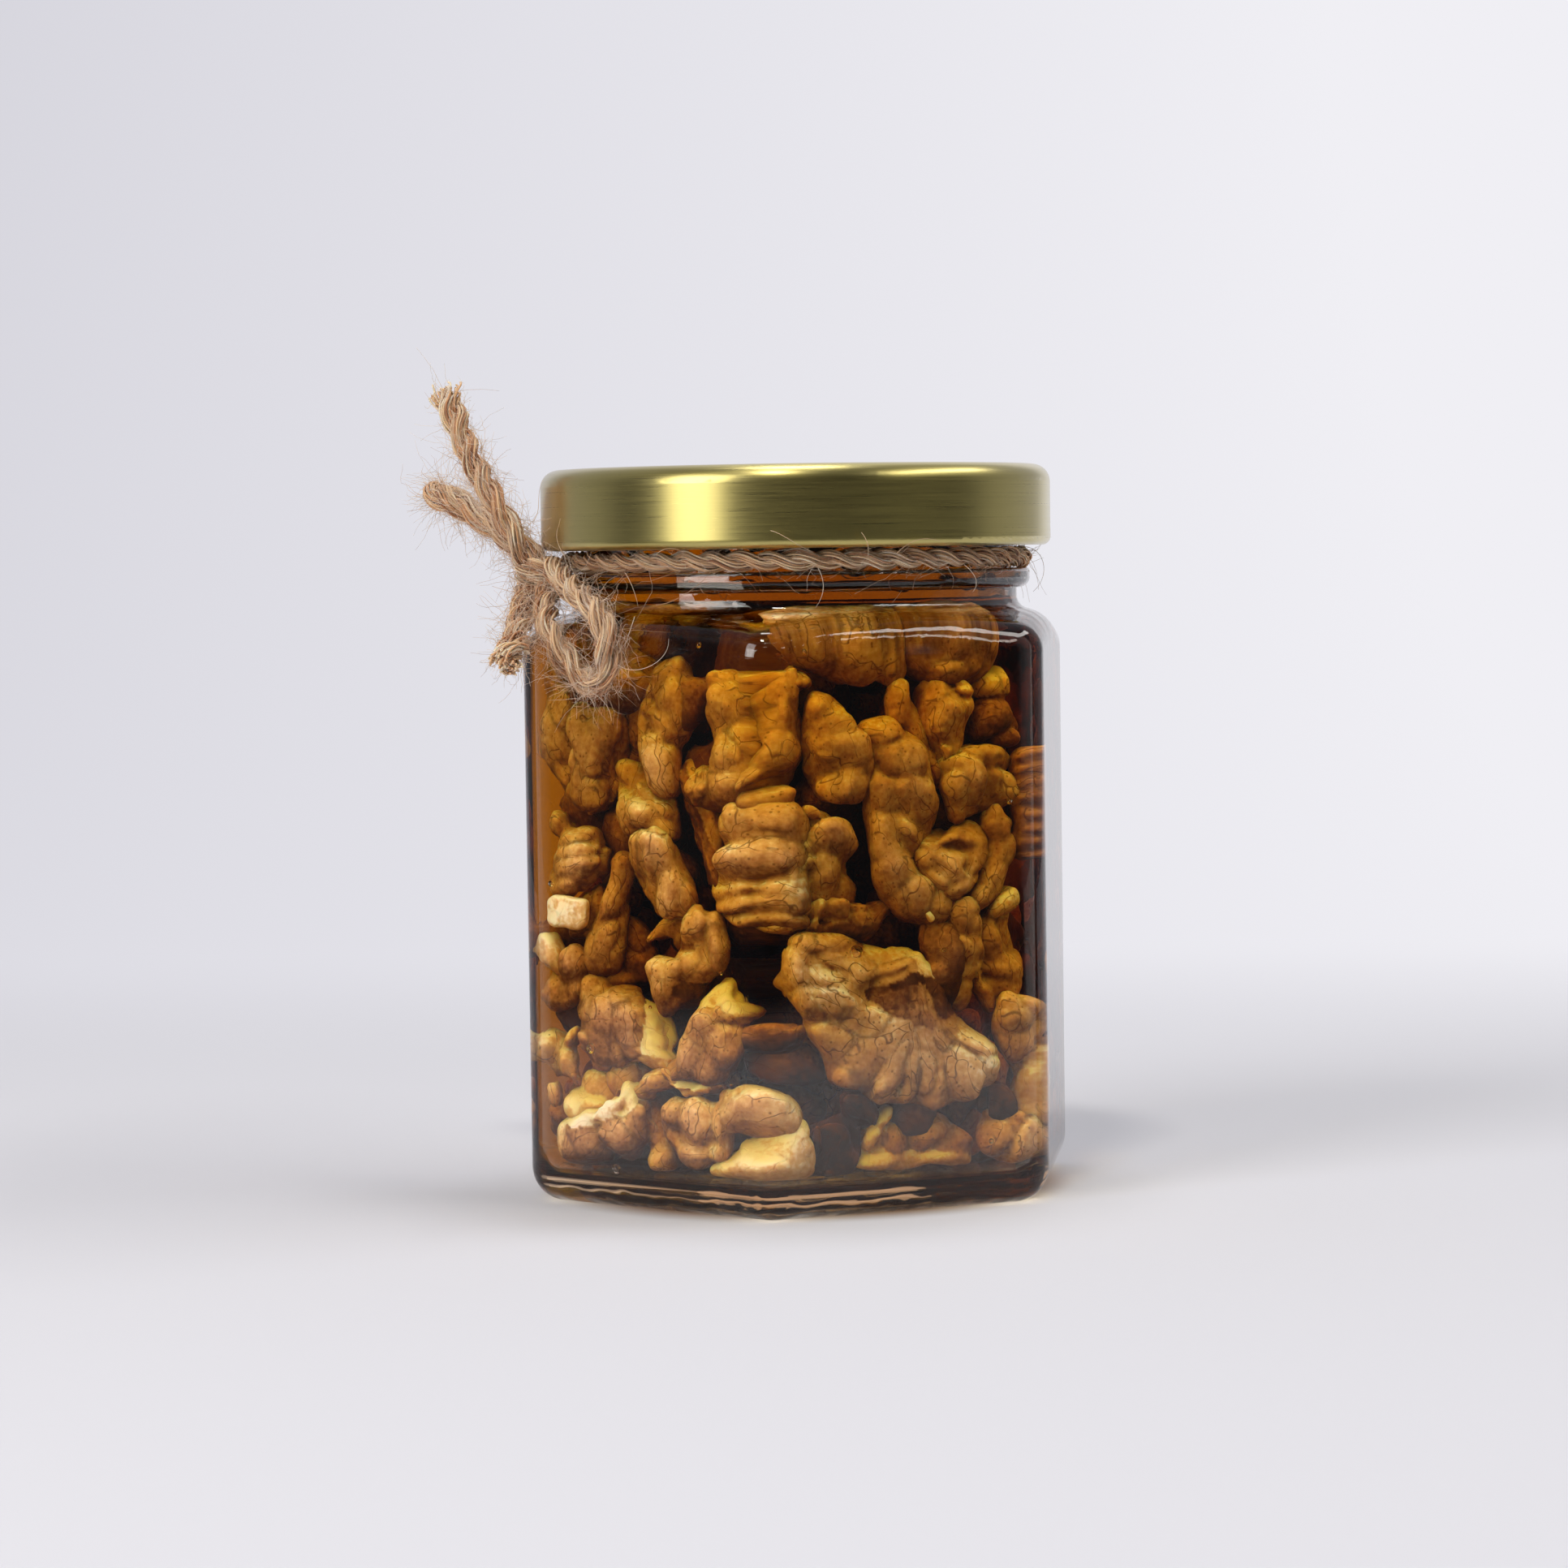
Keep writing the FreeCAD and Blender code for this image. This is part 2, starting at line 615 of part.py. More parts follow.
def make_free_twine(doc, name, route, knot):
    """A plain tube along a route that starts in the knot and is cut back to its surface."""
    centre, out, along, up = knot_frame(doc)
    points = [centre + out * a + along * b + up * c for a, b, c in route]
    radius = value_of(doc, "Sizes.twine_diameter / 2")
    path = route_path(name, points)
    end = Part.Wire(Part.makeCircle(radius, points[0], points[1] - points[0]))
    tube = path.makePipeShell([end], True, False)
    expected = math.pi * radius**2 * path.Length
    print(name, "length", round(path.Length, 1), "volume share", round(tube.Volume / expected, 4))
    full = doc.addObject("Part::Feature", f"{name}_whole")
    full.Shape = tube
    free = doc.addObject("Part::Cut", name)
    free.Base = full
    free.Tool = knot
    return free


def main():
    doc = FreeCAD.newDocument("honey_jar")
    make_sheet(doc)
    outside = make_outside(doc)
    room = make_cavity(doc)
    wrap = make_wrap(doc)
    knot = make_knot(doc, outside, wrap)
    pieces = [
        make_glass(doc, outside, room),
        make_honey(doc, room),
        make_lid(doc),
        make_liner(doc),
        wrap,
        knot,
    ]
    doc.recompute()
    pieces += [make_free_twine(doc, name, route, knot) for name, route in ROUTES.items()]
    doc.recompute()
    for item in doc.Objects:
        if {"Invalid", "Error"} & set(item.State):
            raise SystemExit(f"{item.Label} failed: {item.State}")
    for piece in pieces:
        if piece.Shape.isNull() or not piece.Shape.isValid() or len(piece.Shape.Solids) != 1:
            raise SystemExit(f"{piece.Label} isn't one valid solid")
    os.makedirs("parts", exist_ok=True)
    for piece in pieces:
        piece.Shape.exportStep(f"parts/{piece.Label}.step")
        print(piece.Label, "volume", round(piece.Shape.Volume, 1))


main()
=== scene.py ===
import itertools
import math

import bmesh
import bpy
import numpy as np
from mathutils import Matrix, Vector
from numpy.polynomial import polynomial


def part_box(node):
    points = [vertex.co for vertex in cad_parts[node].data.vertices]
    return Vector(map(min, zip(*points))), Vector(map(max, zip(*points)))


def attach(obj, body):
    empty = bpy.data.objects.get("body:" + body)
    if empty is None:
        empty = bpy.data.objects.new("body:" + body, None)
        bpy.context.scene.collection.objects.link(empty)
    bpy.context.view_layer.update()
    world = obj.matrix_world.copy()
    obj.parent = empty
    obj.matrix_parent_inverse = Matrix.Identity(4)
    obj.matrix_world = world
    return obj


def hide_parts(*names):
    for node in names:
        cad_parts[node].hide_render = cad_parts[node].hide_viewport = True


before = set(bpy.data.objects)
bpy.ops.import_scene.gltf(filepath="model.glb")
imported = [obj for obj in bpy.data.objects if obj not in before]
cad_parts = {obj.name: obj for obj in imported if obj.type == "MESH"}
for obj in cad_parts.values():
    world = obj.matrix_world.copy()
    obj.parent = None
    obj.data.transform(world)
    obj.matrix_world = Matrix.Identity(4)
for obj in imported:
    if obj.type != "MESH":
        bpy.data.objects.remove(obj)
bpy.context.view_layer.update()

MM = 0.001

# ---------------------------------------------------------------- the frame's own sizes
GLASS_LOW, GLASS_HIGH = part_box("glass_jar")
HONEY_LOW, HONEY_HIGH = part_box("honey")


# ---------------------------------------------------------------- shader helpers
SMOOTH = {"interpolation_type": "SMOOTHSTEP"}
GLASS_IOR = 1.5  # and the honey's, so that the two show no surface between them


def linear(hex_colour):
    """An sRGB hex colour as the linear colour that shaders take."""
    parts = [int(hex_colour[i : i + 2], 16) / 255 for i in (0, 2, 4)]
    return (*[c / 12.92 if c <= 0.04045 else ((c + 0.055) / 1.055) ** 2.4 for c in parts], 1.0)


def add(tree, kind, settings=None, **inputs):
    """Adds a node to a tree. Shader nodes go by short names. Settings are a dictionary, or just
    the operation; each input is a value, a socket, or a node whose first output is linked."""
    node = tree.nodes.new(kind if "Node" in kind else "ShaderNode" + kind)
    if isinstance(settings, str):
        settings = {"operation": settings}
    for name, value in (settings or {}).items():
        setattr(node, name, value)
    for name, value in inputs.items():
        key = int(name[1:]) if name[0] == "_" and name[1:].isdigit() else name.replace("_", " ")
        if isinstance(value, bpy.types.Node):
            value = value.outputs[0]
        if isinstance(value, bpy.types.NodeSocket):
            tree.links.new(value, node.inputs[key])
        else:
            node.inputs[key].default_value = value
    return node


def set_ramp(node, stops):
    """Gives a colour ramp its stops, each a place and a hex colour."""
    ramp = node.color_ramp
    while len(ramp.elements) < len(stops):
        ramp.elements.new(0.5)
    for element, (place, colour) in zip(ramp.elements, stops):
        element.position = place
        element.color = linear(colour)
    return node.outputs["Color"]


def new_material(name):
    """An empty material and its node tree."""
    material = bpy.data.materials.new(name)
    material.use_nodes = True
    material.node_tree.nodes.clear()
    return material, material.node_tree


def new_piece(name, mesh, material, replaced=()):
    """Puts a mesh in the scene as a piece of the jar, with its finish and the nodes it replaces."""
    mesh.materials.clear()
    mesh.materials.append(material)
    mesh.polygons.foreach_set("use_smooth", [True] * len(mesh.polygons))
    piece = bpy.data.objects.new(name, mesh)
    bpy.context.scene.collection.objects.link(piece)
    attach(piece, "root")
    if replaced:
        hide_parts(*replaced)
    return piece


# ---------------------------------------------------------------- camera, room and light
CAMERA_TURN = math.radians(7.2)
CAMERA_PITCH = math.radians(3.03)
CAMERA_ROLL = math.radians(0.83)
CAMERA_DISTANCE = 585 * MM
CAMERA_HEIGHT = 83.5 * MM
CAMERA_SIDE = -2.0 * MM
LENS = 102.6

VIEW_RIGHT = Vector((math.cos(CAMERA_TURN), math.sin(CAMERA_TURN), 0))
VIEW_NEAR = Vector((math.sin(CAMERA_TURN), -math.cos(CAMERA_TURN), 0))
UP = Vector((0, 0, 1))


def seen_from(right, near, up):
    """A point given by how far right of the jar's axis, how near and how high it is seen."""
    return VIEW_RIGHT * right + VIEW_NEAR * near + UP * up


def make_camera():
    """The camera, a little to the right of the front edge and level with the lid."""
    data = bpy.data.cameras.new("camera")
    data.lens = LENS
    data.sensor_width = 36
    camera = bpy.data.objects.new("camera", data)
    bpy.context.scene.collection.objects.link(camera)
    camera.location = seen_from(CAMERA_SIDE, CAMERA_DISTANCE, CAMERA_HEIGHT)
    look = -VIEW_NEAR * math.cos(CAMERA_PITCH) - UP * math.sin(CAMERA_PITCH)
    turn = look.to_track_quat("-Z", "Y").to_matrix().to_4x4()
    camera.rotation_euler = (turn @ Matrix.Rotation(-CAMERA_ROLL, 4, "Z")).to_euler()
    bpy.context.scene.camera = camera


def make_softbox(name, place, size, strength, colour):
    """A rectangular studio light that faces the middle of the jar."""
    data = bpy.data.lights.new(name, "AREA")
    data.shape = "RECTANGLE"
    data.size, data.size_y = size
    data.energy = strength
    data.color = linear(colour)[:3]
    lamp = bpy.data.objects.new(name, data)
    bpy.context.scene.collection.objects.link(lamp)
    lamp.location = place
    target = Vector((0, 0, 0.05))
    lamp.rotation_euler = (target - place).to_track_quat("-Z", "Y").to_euler()


def around(turn, height, distance):
    """A point round the jar: degrees right of the camera, degrees up, and metres away."""
    a, e = math.radians(turn), math.radians(height)
    way = VIEW_RIGHT * math.sin(a) * math.cos(e) + VIEW_NEAR * math.cos(a) * math.cos(e)
    return (way + UP * math.sin(e)) * distance


def make_lights():
    """A tall softbox at the left, a strip higher at the right, one lamp overhead and a small
    one above the viewer, which lights the kernels through the shoulder, in a dark room."""
    make_softbox("softbox_left", around(-46, 25, 1.1), (0.48, 0.86), 6.6, "fffdfa")
    make_softbox("strip_right", around(82, 48, 1.1), (1.0, 0.16), 3.8, "fffdf8")
    make_softbox("lamp_top", around(180, 83, 1.1), (0.3, 0.24), 2.6, "ffffff")
    make_softbox("lamp_front", around(-14, 62, 1.1), (0.11, 0.09), 2.4, "fffaf0")
    world = bpy.data.worlds.new("room")
    bpy.context.scene.world = world
    world.use_nodes = True
    tree = world.node_tree
    tree.nodes.clear()
    way = add(tree, "TexCoord").outputs["Generated"]
    frontward = add(tree, "VectorMath", "DOT_PRODUCT", _0=way, _1=tuple(VIEW_NEAR)).outputs["Value"]
    share = add(tree, "MapRange", Value=frontward, From_Min=-1.0, From_Max=1.0)
    colour = set_ramp(
        add(tree, "ValToRGB", Fac=share),
        ((0.0, "b8b8be"), (0.45, "8c8c92"), (0.58, "464648"), (1.0, "323234")),
    )
    path = add(tree, "LightPath")
    pale = add(
        tree, "Mix", {"data_type": "RGBA"},
        _0=path.outputs["Is Camera Ray"], _6=colour, _7=linear("e6e5eb"),
    )
    background = add(tree, "Background", Color=pale.outputs[2], Strength=1.0)
    add(tree, "OutputWorld", Surface=background)


def seen_directly(tree):
    """1 for rays from the camera, off polished metal or through glass; 0 for all others."""
    path = add(tree, "LightPath")
    either = path.outputs["Is Camera Ray"]
    for other in ("Is Glossy Ray", "Is Transmission Ray"):
        either = add(tree, "Math", "MAXIMUM", _0=either, _1=path.outputs[other])
    return either


def seamless_paper():
    """Seamless studio paper: matt white under the jar, where it keeps the shadow, and farther
    back a lilac grey, painted paler to the right as painted light. Where the paper runs towards
    the viewer, glass and metal mirror it as a dark grey, a painted reflection of a dark room."""
    material, tree = new_material("seamless_paper")
    place = add(tree, "NewGeometry").outputs["Position"]
    across, near = (
        add(tree, "VectorMath", "DOT_PRODUCT", _0=place, _1=tuple(way)).outputs["Value"]
        for way in (VIEW_RIGHT, VIEW_NEAR)
    )
    away = add(tree, "VectorMath", "LENGTH", _0=place).outputs["Value"]
    # Painted light: the far backdrop is painted paler towards the right, as the light falls across
    # it.
    share = add(tree, "MapRange", Value=across, From_Min=-0.30, From_Max=0.18)
    shade = set_ramp(
        add(tree, "ValToRGB", Fac=share),
        ((0.0, "d5d4dc"), (0.35, "dfdee5"), (0.7, "e8e7ed"), (1.0, "f0eff4")),
    )
    glow = add(tree, "Emission", Color=shade, Strength=1.0)
    matt = add(tree, "BsdfDiffuse", Color=linear("e2e2e9"))
    # Painted reflection: rays off glass and metal see the paper in front of the jar as this dark
    # grey emission.
    dark = add(tree, "Emission", Color=linear("3a3a3e"), Strength=1.0)
    far, front, off = (
        add(tree, "MapRange", SMOOTH, Value=value, From_Min=low, From_Max=high)
        for value, low, high in ((near, -0.05, -0.35), (near, -0.04, 0.02), (away, 0.15, 0.32))
    )
    path = add(tree, "LightPath")
    by_glass = add(
        tree, "Math", "MAXIMUM",
        _0=path.outputs["Is Glossy Ray"], _1=path.outputs["Is Transmission Ray"],
    )
    painted = add(tree, "Math", "MULTIPLY", _0=far, _1=seen_directly(tree))
    mirrored = add(tree, "Math", "MULTIPLY", _0=off, _1=by_glass)
    dark_reflection_share = add(tree, "Math", "MULTIPLY", _0=mirrored, _1=front)
    lit = add(tree, "MixShader", _0=dark_reflection_share, _1=matt, _2=dark)
    # Painted light and painted shadow: the paper under the jar and just round its foot is painted a
    # glowing dark amber, for the light that has come through the honey and the shade at the foot.
    under = add(
        tree, "MapRange", SMOOTH,
        Value=away, From_Min=27 * MM, From_Max=36 * MM, To_Min=1.0, To_Max=0.0,
    )
    painted_amber_glow = add(tree, "Emission", Color=linear("5f3d24"), Strength=1.0)
    with_amber_glow = add(tree, "MixShader", _0=under, _1=lit, _2=painted_amber_glow)
    mixed = add(tree, "MixShader", _0=painted, _1=with_amber_glow, _2=glow)
    add(tree, "OutputMaterial", Surface=mixed)
    return material


def make_room():
    """One sheet of paper that lies under the jar and sweeps up behind it."""
    half, front, flat_back, sweep, rise, steps = 0.55, 0.40, -0.35, 0.7, 2.4, 32
    low = -0.1 * MM  # under the glass there is air, so its foot mirrors what is above it
    profile = [(front, low)]
    for step in range(steps + 1):
        turn = math.radians(90) * step / steps
        profile.append((flat_back - sweep * math.sin(turn), low + sweep * (1 - math.cos(turn))))
    profile.append((flat_back - sweep, rise))
    points = [tuple(seen_from(side, near, up)) for near, up in profile for side in (-half, half)]
    faces = [(2 * i, 2 * i + 1, 2 * i + 3, 2 * i + 2) for i in range(len(profile) - 1)]
    mesh = bpy.data.meshes.new("paper")
    mesh.from_pydata(points, [], faces)
    mesh.polygons.foreach_set("use_smooth", [True] * len(faces))
    mesh.materials.append(seamless_paper())
    sheet = bpy.data.objects.new("paper", mesh)
    bpy.context.scene.collection.objects.link(sheet)


# ---------------------------------------------------------------- glass, honey and lid
def lets_lamps_through(tree, shader, tint):
    """Mixes in a clear shader for shadow rays, so that lamps reach what is behind."""
    path = add(tree, "LightPath")
    clear = add(tree, "BsdfTransparent", Color=tint)
    return add(tree, "MixShader", _0=path.outputs["Is Shadow Ray"], _1=shader, _2=clear)


def clear_glass():
    """Moulded flint glass: colourless and polished, flat on its walls, and faintly uneven where
    the mould turns it in at the shoulders and under the base."""
    material, tree = new_material("flint_glass")
    place = add(tree, "TexCoord").outputs["Object"]
    height = add(tree, "SeparateXYZ", Vector=place).outputs["Z"]
    low = add(tree, "MapRange", Value=height, From_Min=3 * MM, From_Max=1 * MM)
    high = add(tree, "MapRange", Value=height, From_Min=70 * MM, From_Max=74 * MM)
    waves, ripples = (
        add(tree, "TexNoise", Vector=place, Scale=1 / width, Detail=1.0)
        for width in (7 * MM, 5 * MM)
    )
    uneven, foot = (
        add(tree, "Math", "MULTIPLY", _0=share, _1=height_map)
        for share, height_map in ((high, waves.outputs["Fac"]), (low, ripples.outputs["Fac"]))
    )
    both = add(tree, "Math", "MULTIPLY_ADD", _0=foot, _1=2.2, _2=uneven)
    bump = add(tree, "Bump", Strength=1.0, Distance=0.4 * MM, Height=both)
    shader = add(
        tree,
        "BsdfPrincipled",
        Base_Color=linear("fbfdfc"),
        Roughness=0.0,
        IOR=GLASS_IOR,
        Transmission_Weight=1.0,
        Specular_IOR_Level=0.18,
        Normal=bump,
    )
    surface = lets_lamps_through(tree, shader, linear("fbfdfc"))
    # Seen edge on, through the thick base, the glass has a slight warm cast.
    volume = add(tree, "VolumeAbsorption", Color=(0.7, 0.38, 0.0, 1), Density=26.0)
    add(tree, "OutputMaterial", Surface=surface, Volume=volume)
    return material


def amber_honey():
    """Clear amber honey: pale where it is thin, amber to brown where it is deep."""
    material, tree = new_material("amber_honey")
    shader = add(
        tree,
        "BsdfPrincipled",
        Base_Color=(1, 1, 1, 1),
        Roughness=0.0,
        IOR=GLASS_IOR,
        Transmission_Weight=1.0,
        Specular_Tint=(0, 0, 0, 1),
    )
    surface = lets_lamps_through(tree, shader, (1, 1, 1, 1))
    volume = add(tree, "VolumeAbsorption", Color=(0.93, 0.835, 0.18, 1), Density=320.0)
    add(tree, "OutputMaterial", Surface=surface, Volume=volume)
    return material


def gold_lacquer():
    """Tinplate under transparent gold lacquer, finely brushed round the skirt, so its highlights
    stretch into upright bands crossed by hairlines."""
    material, tree = new_material("gold_lacquer")
    place = add(tree, "TexCoord").outputs["Object"]
    flat = add(tree, "VectorMath", "MULTIPLY", _0=place, _1=(1.0, 1.0, 0.0))
    radius = add(tree, "VectorMath", "LENGTH", _0=flat)
    part = add(tree, "SeparateXYZ", Vector=place)
    turned = add(
        tree, "CombineXYZ",
        X=radius.outputs["Value"], Y=part.outputs["Z"], Z=part.outputs["X"],
    )
    # The hairlines are drawn coarser than real brushing, so that they show.
    fine, long = 0.11 * MM, 9 * MM
    drawn = add(tree, "Mapping", Vector=turned, Scale=(1 / fine, 1 / fine, 1 / long))
    hairlines = add(tree, "TexNoise", Vector=drawn, Scale=1.0, Detail=3.0)
    colour = add(
        tree, "Mix", {"data_type": "RGBA"},
        _0=hairlines.outputs["Fac"], _6=linear("b3a45a"), _7=linear("c8b96a"),
    )
    rough = add(
        tree, "MapRange", Value=hairlines.outputs["Fac"],
        From_Min=0.3, From_Max=0.7, To_Min=0.27, To_Max=0.36,
    )
    bump = add(tree, "Bump", Strength=0.3, Distance=0.01 * MM, Height=hairlines.outputs["Fac"])
    around_axis = add(tree, "Tangent", {"direction_type": "RADIAL", "axis": "Z"})
    shader = add(
        tree,
        "BsdfPrincipled",
        Base_Color=colour.outputs[2],
        Metallic=1.0,
        Roughness=rough,
        Anisotropic=0.55,
        Anisotropic_Rotation=0.25,
        Coat_Weight=1.0,
        Coat_Roughness=0.3,
        Tangent=around_axis,
        Normal=bump,
    )
    add(tree, "OutputMaterial", Surface=shader)
    return material


def sealing_compound():
    """The sealing ring inside the lid: soft matt cream plastisol."""
    material, tree = new_material("sealing_compound")
    place = add(tree, "TexCoord").outputs["Object"]
    grain = add(tree, "TexNoise", Vector=place, Scale=1 / (0.8 * MM), Detail=2.0)
    bump = add(tree, "Bump", Strength=0.3, Distance=0.05 * MM, Height=grain.outputs["Fac"])
    shader = add(tree, "BsdfPrincipled", Base_Color=linear("d8d2c2"), Roughness=0.55, Normal=bump)
    add(tree, "OutputMaterial", Surface=shader)
    return material


def air_bubble():
    """Air caught in the honey: a clear bead that bends light the other way, with a bright rim."""
    material, tree = new_material("air_bubble")
    shader = add(tree, "BsdfGlass", Color=(1, 1, 1, 1), Roughness=0.0, IOR=1 / GLASS_IOR)
    surface = lets_lamps_through(tree, shader, (1, 1, 1, 1))
    add(tree, "OutputMaterial", Surface=surface)
    return material


def make_honey():
    """The honey's body: the contents' solid, reaching just into the glass. Its corners keep
    their own directions, so the flat walls stay optically flat."""
    reach = 0.05 * MM
    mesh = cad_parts["honey"].data.copy()
    facing = np.array([corner.vector for corner in mesh.corner_normals]).ravel()
    mesh.attributes.new("facing", "FLOAT_VECTOR", "CORNER").data.foreach_set("vector", facing)
    body = bmesh.new()
    body.from_mesh(mesh)
    bmesh.ops.remove_doubles(body, verts=body.verts, dist=1e-7)
    body.to_mesh(mesh)
    body.free()
    normals = np.array([v.normal for v in mesh.vertices])
    points = np.array([v.co for v in mesh.vertices])
    mesh.vertices.foreach_set("co", (points + normals * reach).ravel())
    mesh.update()
    facing = [tuple(corner.vector) for corner in mesh.attributes["facing"].data]
    mesh.attributes.remove(mesh.attributes["facing"])
    piece = new_piece("honey_body", mesh, amber_honey(), ["honey"])
    piece.data.normals_split_custom_set(facing)


# ---------------------------------------------------------------- walnuts: how a kernel is shaped
# Kernels are worked out in millimetres and turned to metres when their mesh is made.
FLATS = (GLASS_HIGH.x - GLASS_LOW.x) / MM
ROOM_FLATS = (HONEY_HIGH.x - HONEY_LOW.x) / MM
ROOM_FLOOR = HONEY_LOW.z / MM + 1.0
ROOM_CEILING = HONEY_HIGH.z / MM - 0.6
WALL = (FLATS - ROOM_FLATS) / 2
# What the glass makes of the room for kernels: its mouth's radius, where its shoulder starts and
# how it falls, how far its corners reach, its heel's radius, and the honey left at the glass.
MOUTH = 26.2
SHOULDER_ROOT = 73.9
SHOULDER_FALL = math.radians(17)
ROOM_CORNER = 34.9
ROOM_HEEL = 3.0
GLASS_GAP = 0.15
# Behind its lobes a kernel is one body: a web this deep behind them joins them over this reach.
WEB_DEPTH = 1.5
WEB_REACH = 3.4
WEB_BLEND = 0.6
# The waves of a kernel's skin: how wide they are, and how far they shift it.
BROAD_WAVE = (8.0, 1.3)
FINE_WAVE = (3.2, 0.42)
# How far apart its folds and the creases between them are, and how wide the painted shade along a
# furrow is.
FOLD_SPACING = 4.4
CREASE_SPACING = 2.0
FURROW_SHADE_WIDTH = 0.24
# A kernel is sampled this far past its lobes, worked out in full this near its skin, and cut
# off at the room's walls with an edge this soft.
SAMPLE_MARGIN = 3.4
SKIN_BAND = 3.2
WALL_BLEND = 0.5

# The two walls in view: their outward normal and the way along them to the viewer's right.
WALLS = {
    "left": (np.array((-0.5, -0.866, 0)), np.array((0.866, -0.5, 0))),
    "right": (np.array((0.5, -0.866, 0)), np.array((0.866, 0.5, 0))),
}
UPWARD = np.array((0, 0, 1.0))
EYE = np.array(seen_from(CAMERA_SIDE, CAMERA_DISTANCE, CAMERA_HEIGHT)) / MM


def behind_glass(wall, along, up, deep):
    """The point that lies deep behind a wall and shows through it at (along, up)."""
    normal, across = WALLS[wall]
    spot = normal * FLATS / 2 + across * along + UPWARD * up
    sight = (spot - EYE) / np.linalg.norm(spot - EYE)
    square_on = -sight @ normal
    bend = 1 / GLASS_IOR
    sight = sight * bend + normal * (bend * square_on - math.sqrt(1 - bend**2 * (1 - square_on**2)))
    return spot + sight * (WALL + deep) / (-sight @ normal)


def melt(first, second, reach):
    """The smaller of two distances, with the valley between them filled over a reach."""
    near = np.maximum(reach - np.abs(first - second), 0) / reach
    return np.minimum(first, second) - near * near * reach / 4


def outside_room(points):
    """How far points are outside the room that the kernels may fill; negative inside."""
    x, y, z = points.T
    walls = np.max(
        [x * math.cos(a) + y * math.sin(a) for a in np.radians(range(0, 360, 60))], axis=0
    )
    radius = np.hypot(x, y)
    sides = np.maximum(walls - ROOM_FLATS / 2, radius - ROOM_CORNER) + GLASS_GAP
    floor = ROOM_FLOOR - z
    round_heel = np.hypot(sides + ROOM_HEEL, floor + ROOM_HEEL) - ROOM_HEEL
    below = np.where(np.minimum(sides, floor) > -ROOM_HEEL, round_heel, np.maximum(sides, floor))
    slope = z - SHOULDER_ROOT + (radius - MOUTH) * math.tan(SHOULDER_FALL)
    above = np.minimum(slope * math.cos(SHOULDER_FALL), radius - MOUTH) + GLASS_GAP
    return np.maximum(np.maximum(below, above), z - ROOM_CEILING)


def drift(points, size, seed, cells=16):
    """Smooth random shifts from -1 to 1 each way, in blobs of a given size."""
    table = np.random.default_rng(seed).uniform(-1, 1, (cells, cells, cells, 3)).astype(np.float32)
    place = points / size
    cell = np.floor(place).astype(int)
    part = place - cell
    part = part * part * (3 - 2 * part)
    total = np.zeros_like(points)
    for corner in itertools.product((0, 1), repeat=3):
        weight = np.prod(np.where(corner, part, 1 - part), axis=1)
        x, y, z = ((cell + corner) % cells).T
        total += weight[:, None] * table[x, y, z]
    return total


def lobe_distance(local, size):
    """How far points are outside an ellipsoid, near enough for a skin to be laid over it."""
    ratio = np.linalg.norm(local / size, axis=1) + 1e-6
    slope = np.linalg.norm(local / size**2, axis=1) + 1e-6
    return ratio * (ratio - 1) / slope


def groove(points, spacing, sharpness, seed):
    """1 along winding lines about a spacing apart, falling to 0 on the rounded folds between."""
    return np.maximum(1 - np.abs(drift(points, spacing, seed)[:, 0]) * sharpness, 0)


def kernel_field(points, lobes, wrinkle, blend, seed):
    """Distance to a kernel made of melted lobes, and what its skin needs at each point."""
    bent = points
    for number, (width, shift) in enumerate((BROAD_WAVE, FINE_WAVE)):
        bent = bent + drift(points, width, seed + number) * shift
    nearest = np.full(len(points), 1e3)
    second = np.full(len(points), 1e3)
    lobed = np.full(len(points), 1e3)
    webbed = np.full(len(points), 1e3)
    tone = np.zeros(len(points))
    grain = np.zeros((len(points), 3))
    for number, (centre, size, axes, shade) in enumerate(lobes):
        local = (bent - centre) @ axes.T
        away = lobe_distance(local, size)
        lobed = melt(lobed, away, blend + 0.4)
        webbed = melt(webbed, lobe_distance(local - (0, 0, WEB_DEPTH), size), WEB_REACH)
        closer = away < nearest
        second = np.where(closer, nearest, np.minimum(second, away))
        nearest = np.minimum(nearest, away)
        tone = np.where(closer, shade, tone)
        grain = np.where(closer[:, None], local + number * 9.7, grain)
    body = melt(lobed, webbed, WEB_BLEND)
    # Folds cross the whole kernel and creases cross the folds, deeper where it is more wrinkled.
    folds = groove(bent, FOLD_SPACING, 2.2, seed + 2) ** 1.5
    creases = groove(bent + drift(bent, 1.6, seed + 4) * 0.3, CREASE_SPACING, 2.0, seed + 3)
    body = body + (0.3 + 0.6 * wrinkle) * folds + (0.12 + 0.2 * wrinkle) * creases
    # Painted shade: the skin is darkened in the furrows between its lobes, in its folds and where
    # the web shows.
    strength = np.clip(0.45 + drift(points, 5.0, seed + 6)[:, 0], 0.1, 0.8)
    waver = drift(points, 1.6, seed + 5)[:, 0] * 0.4
    furrow_shade = strength * np.exp(-(((second - nearest + waver) / FURROW_SHADE_WIDTH) ** 2))
    furrow_shade = np.maximum(furrow_shade, (0.18 + 0.4 * wrinkle) * folds**2)
    furrow_shade = np.maximum(furrow_shade, np.clip((lobed - webbed) * 0.55, 0, 0.75))
    body = -melt(-body, -outside_room(points), WALL_BLEND)
    return body, furrow_shade, tone, grain


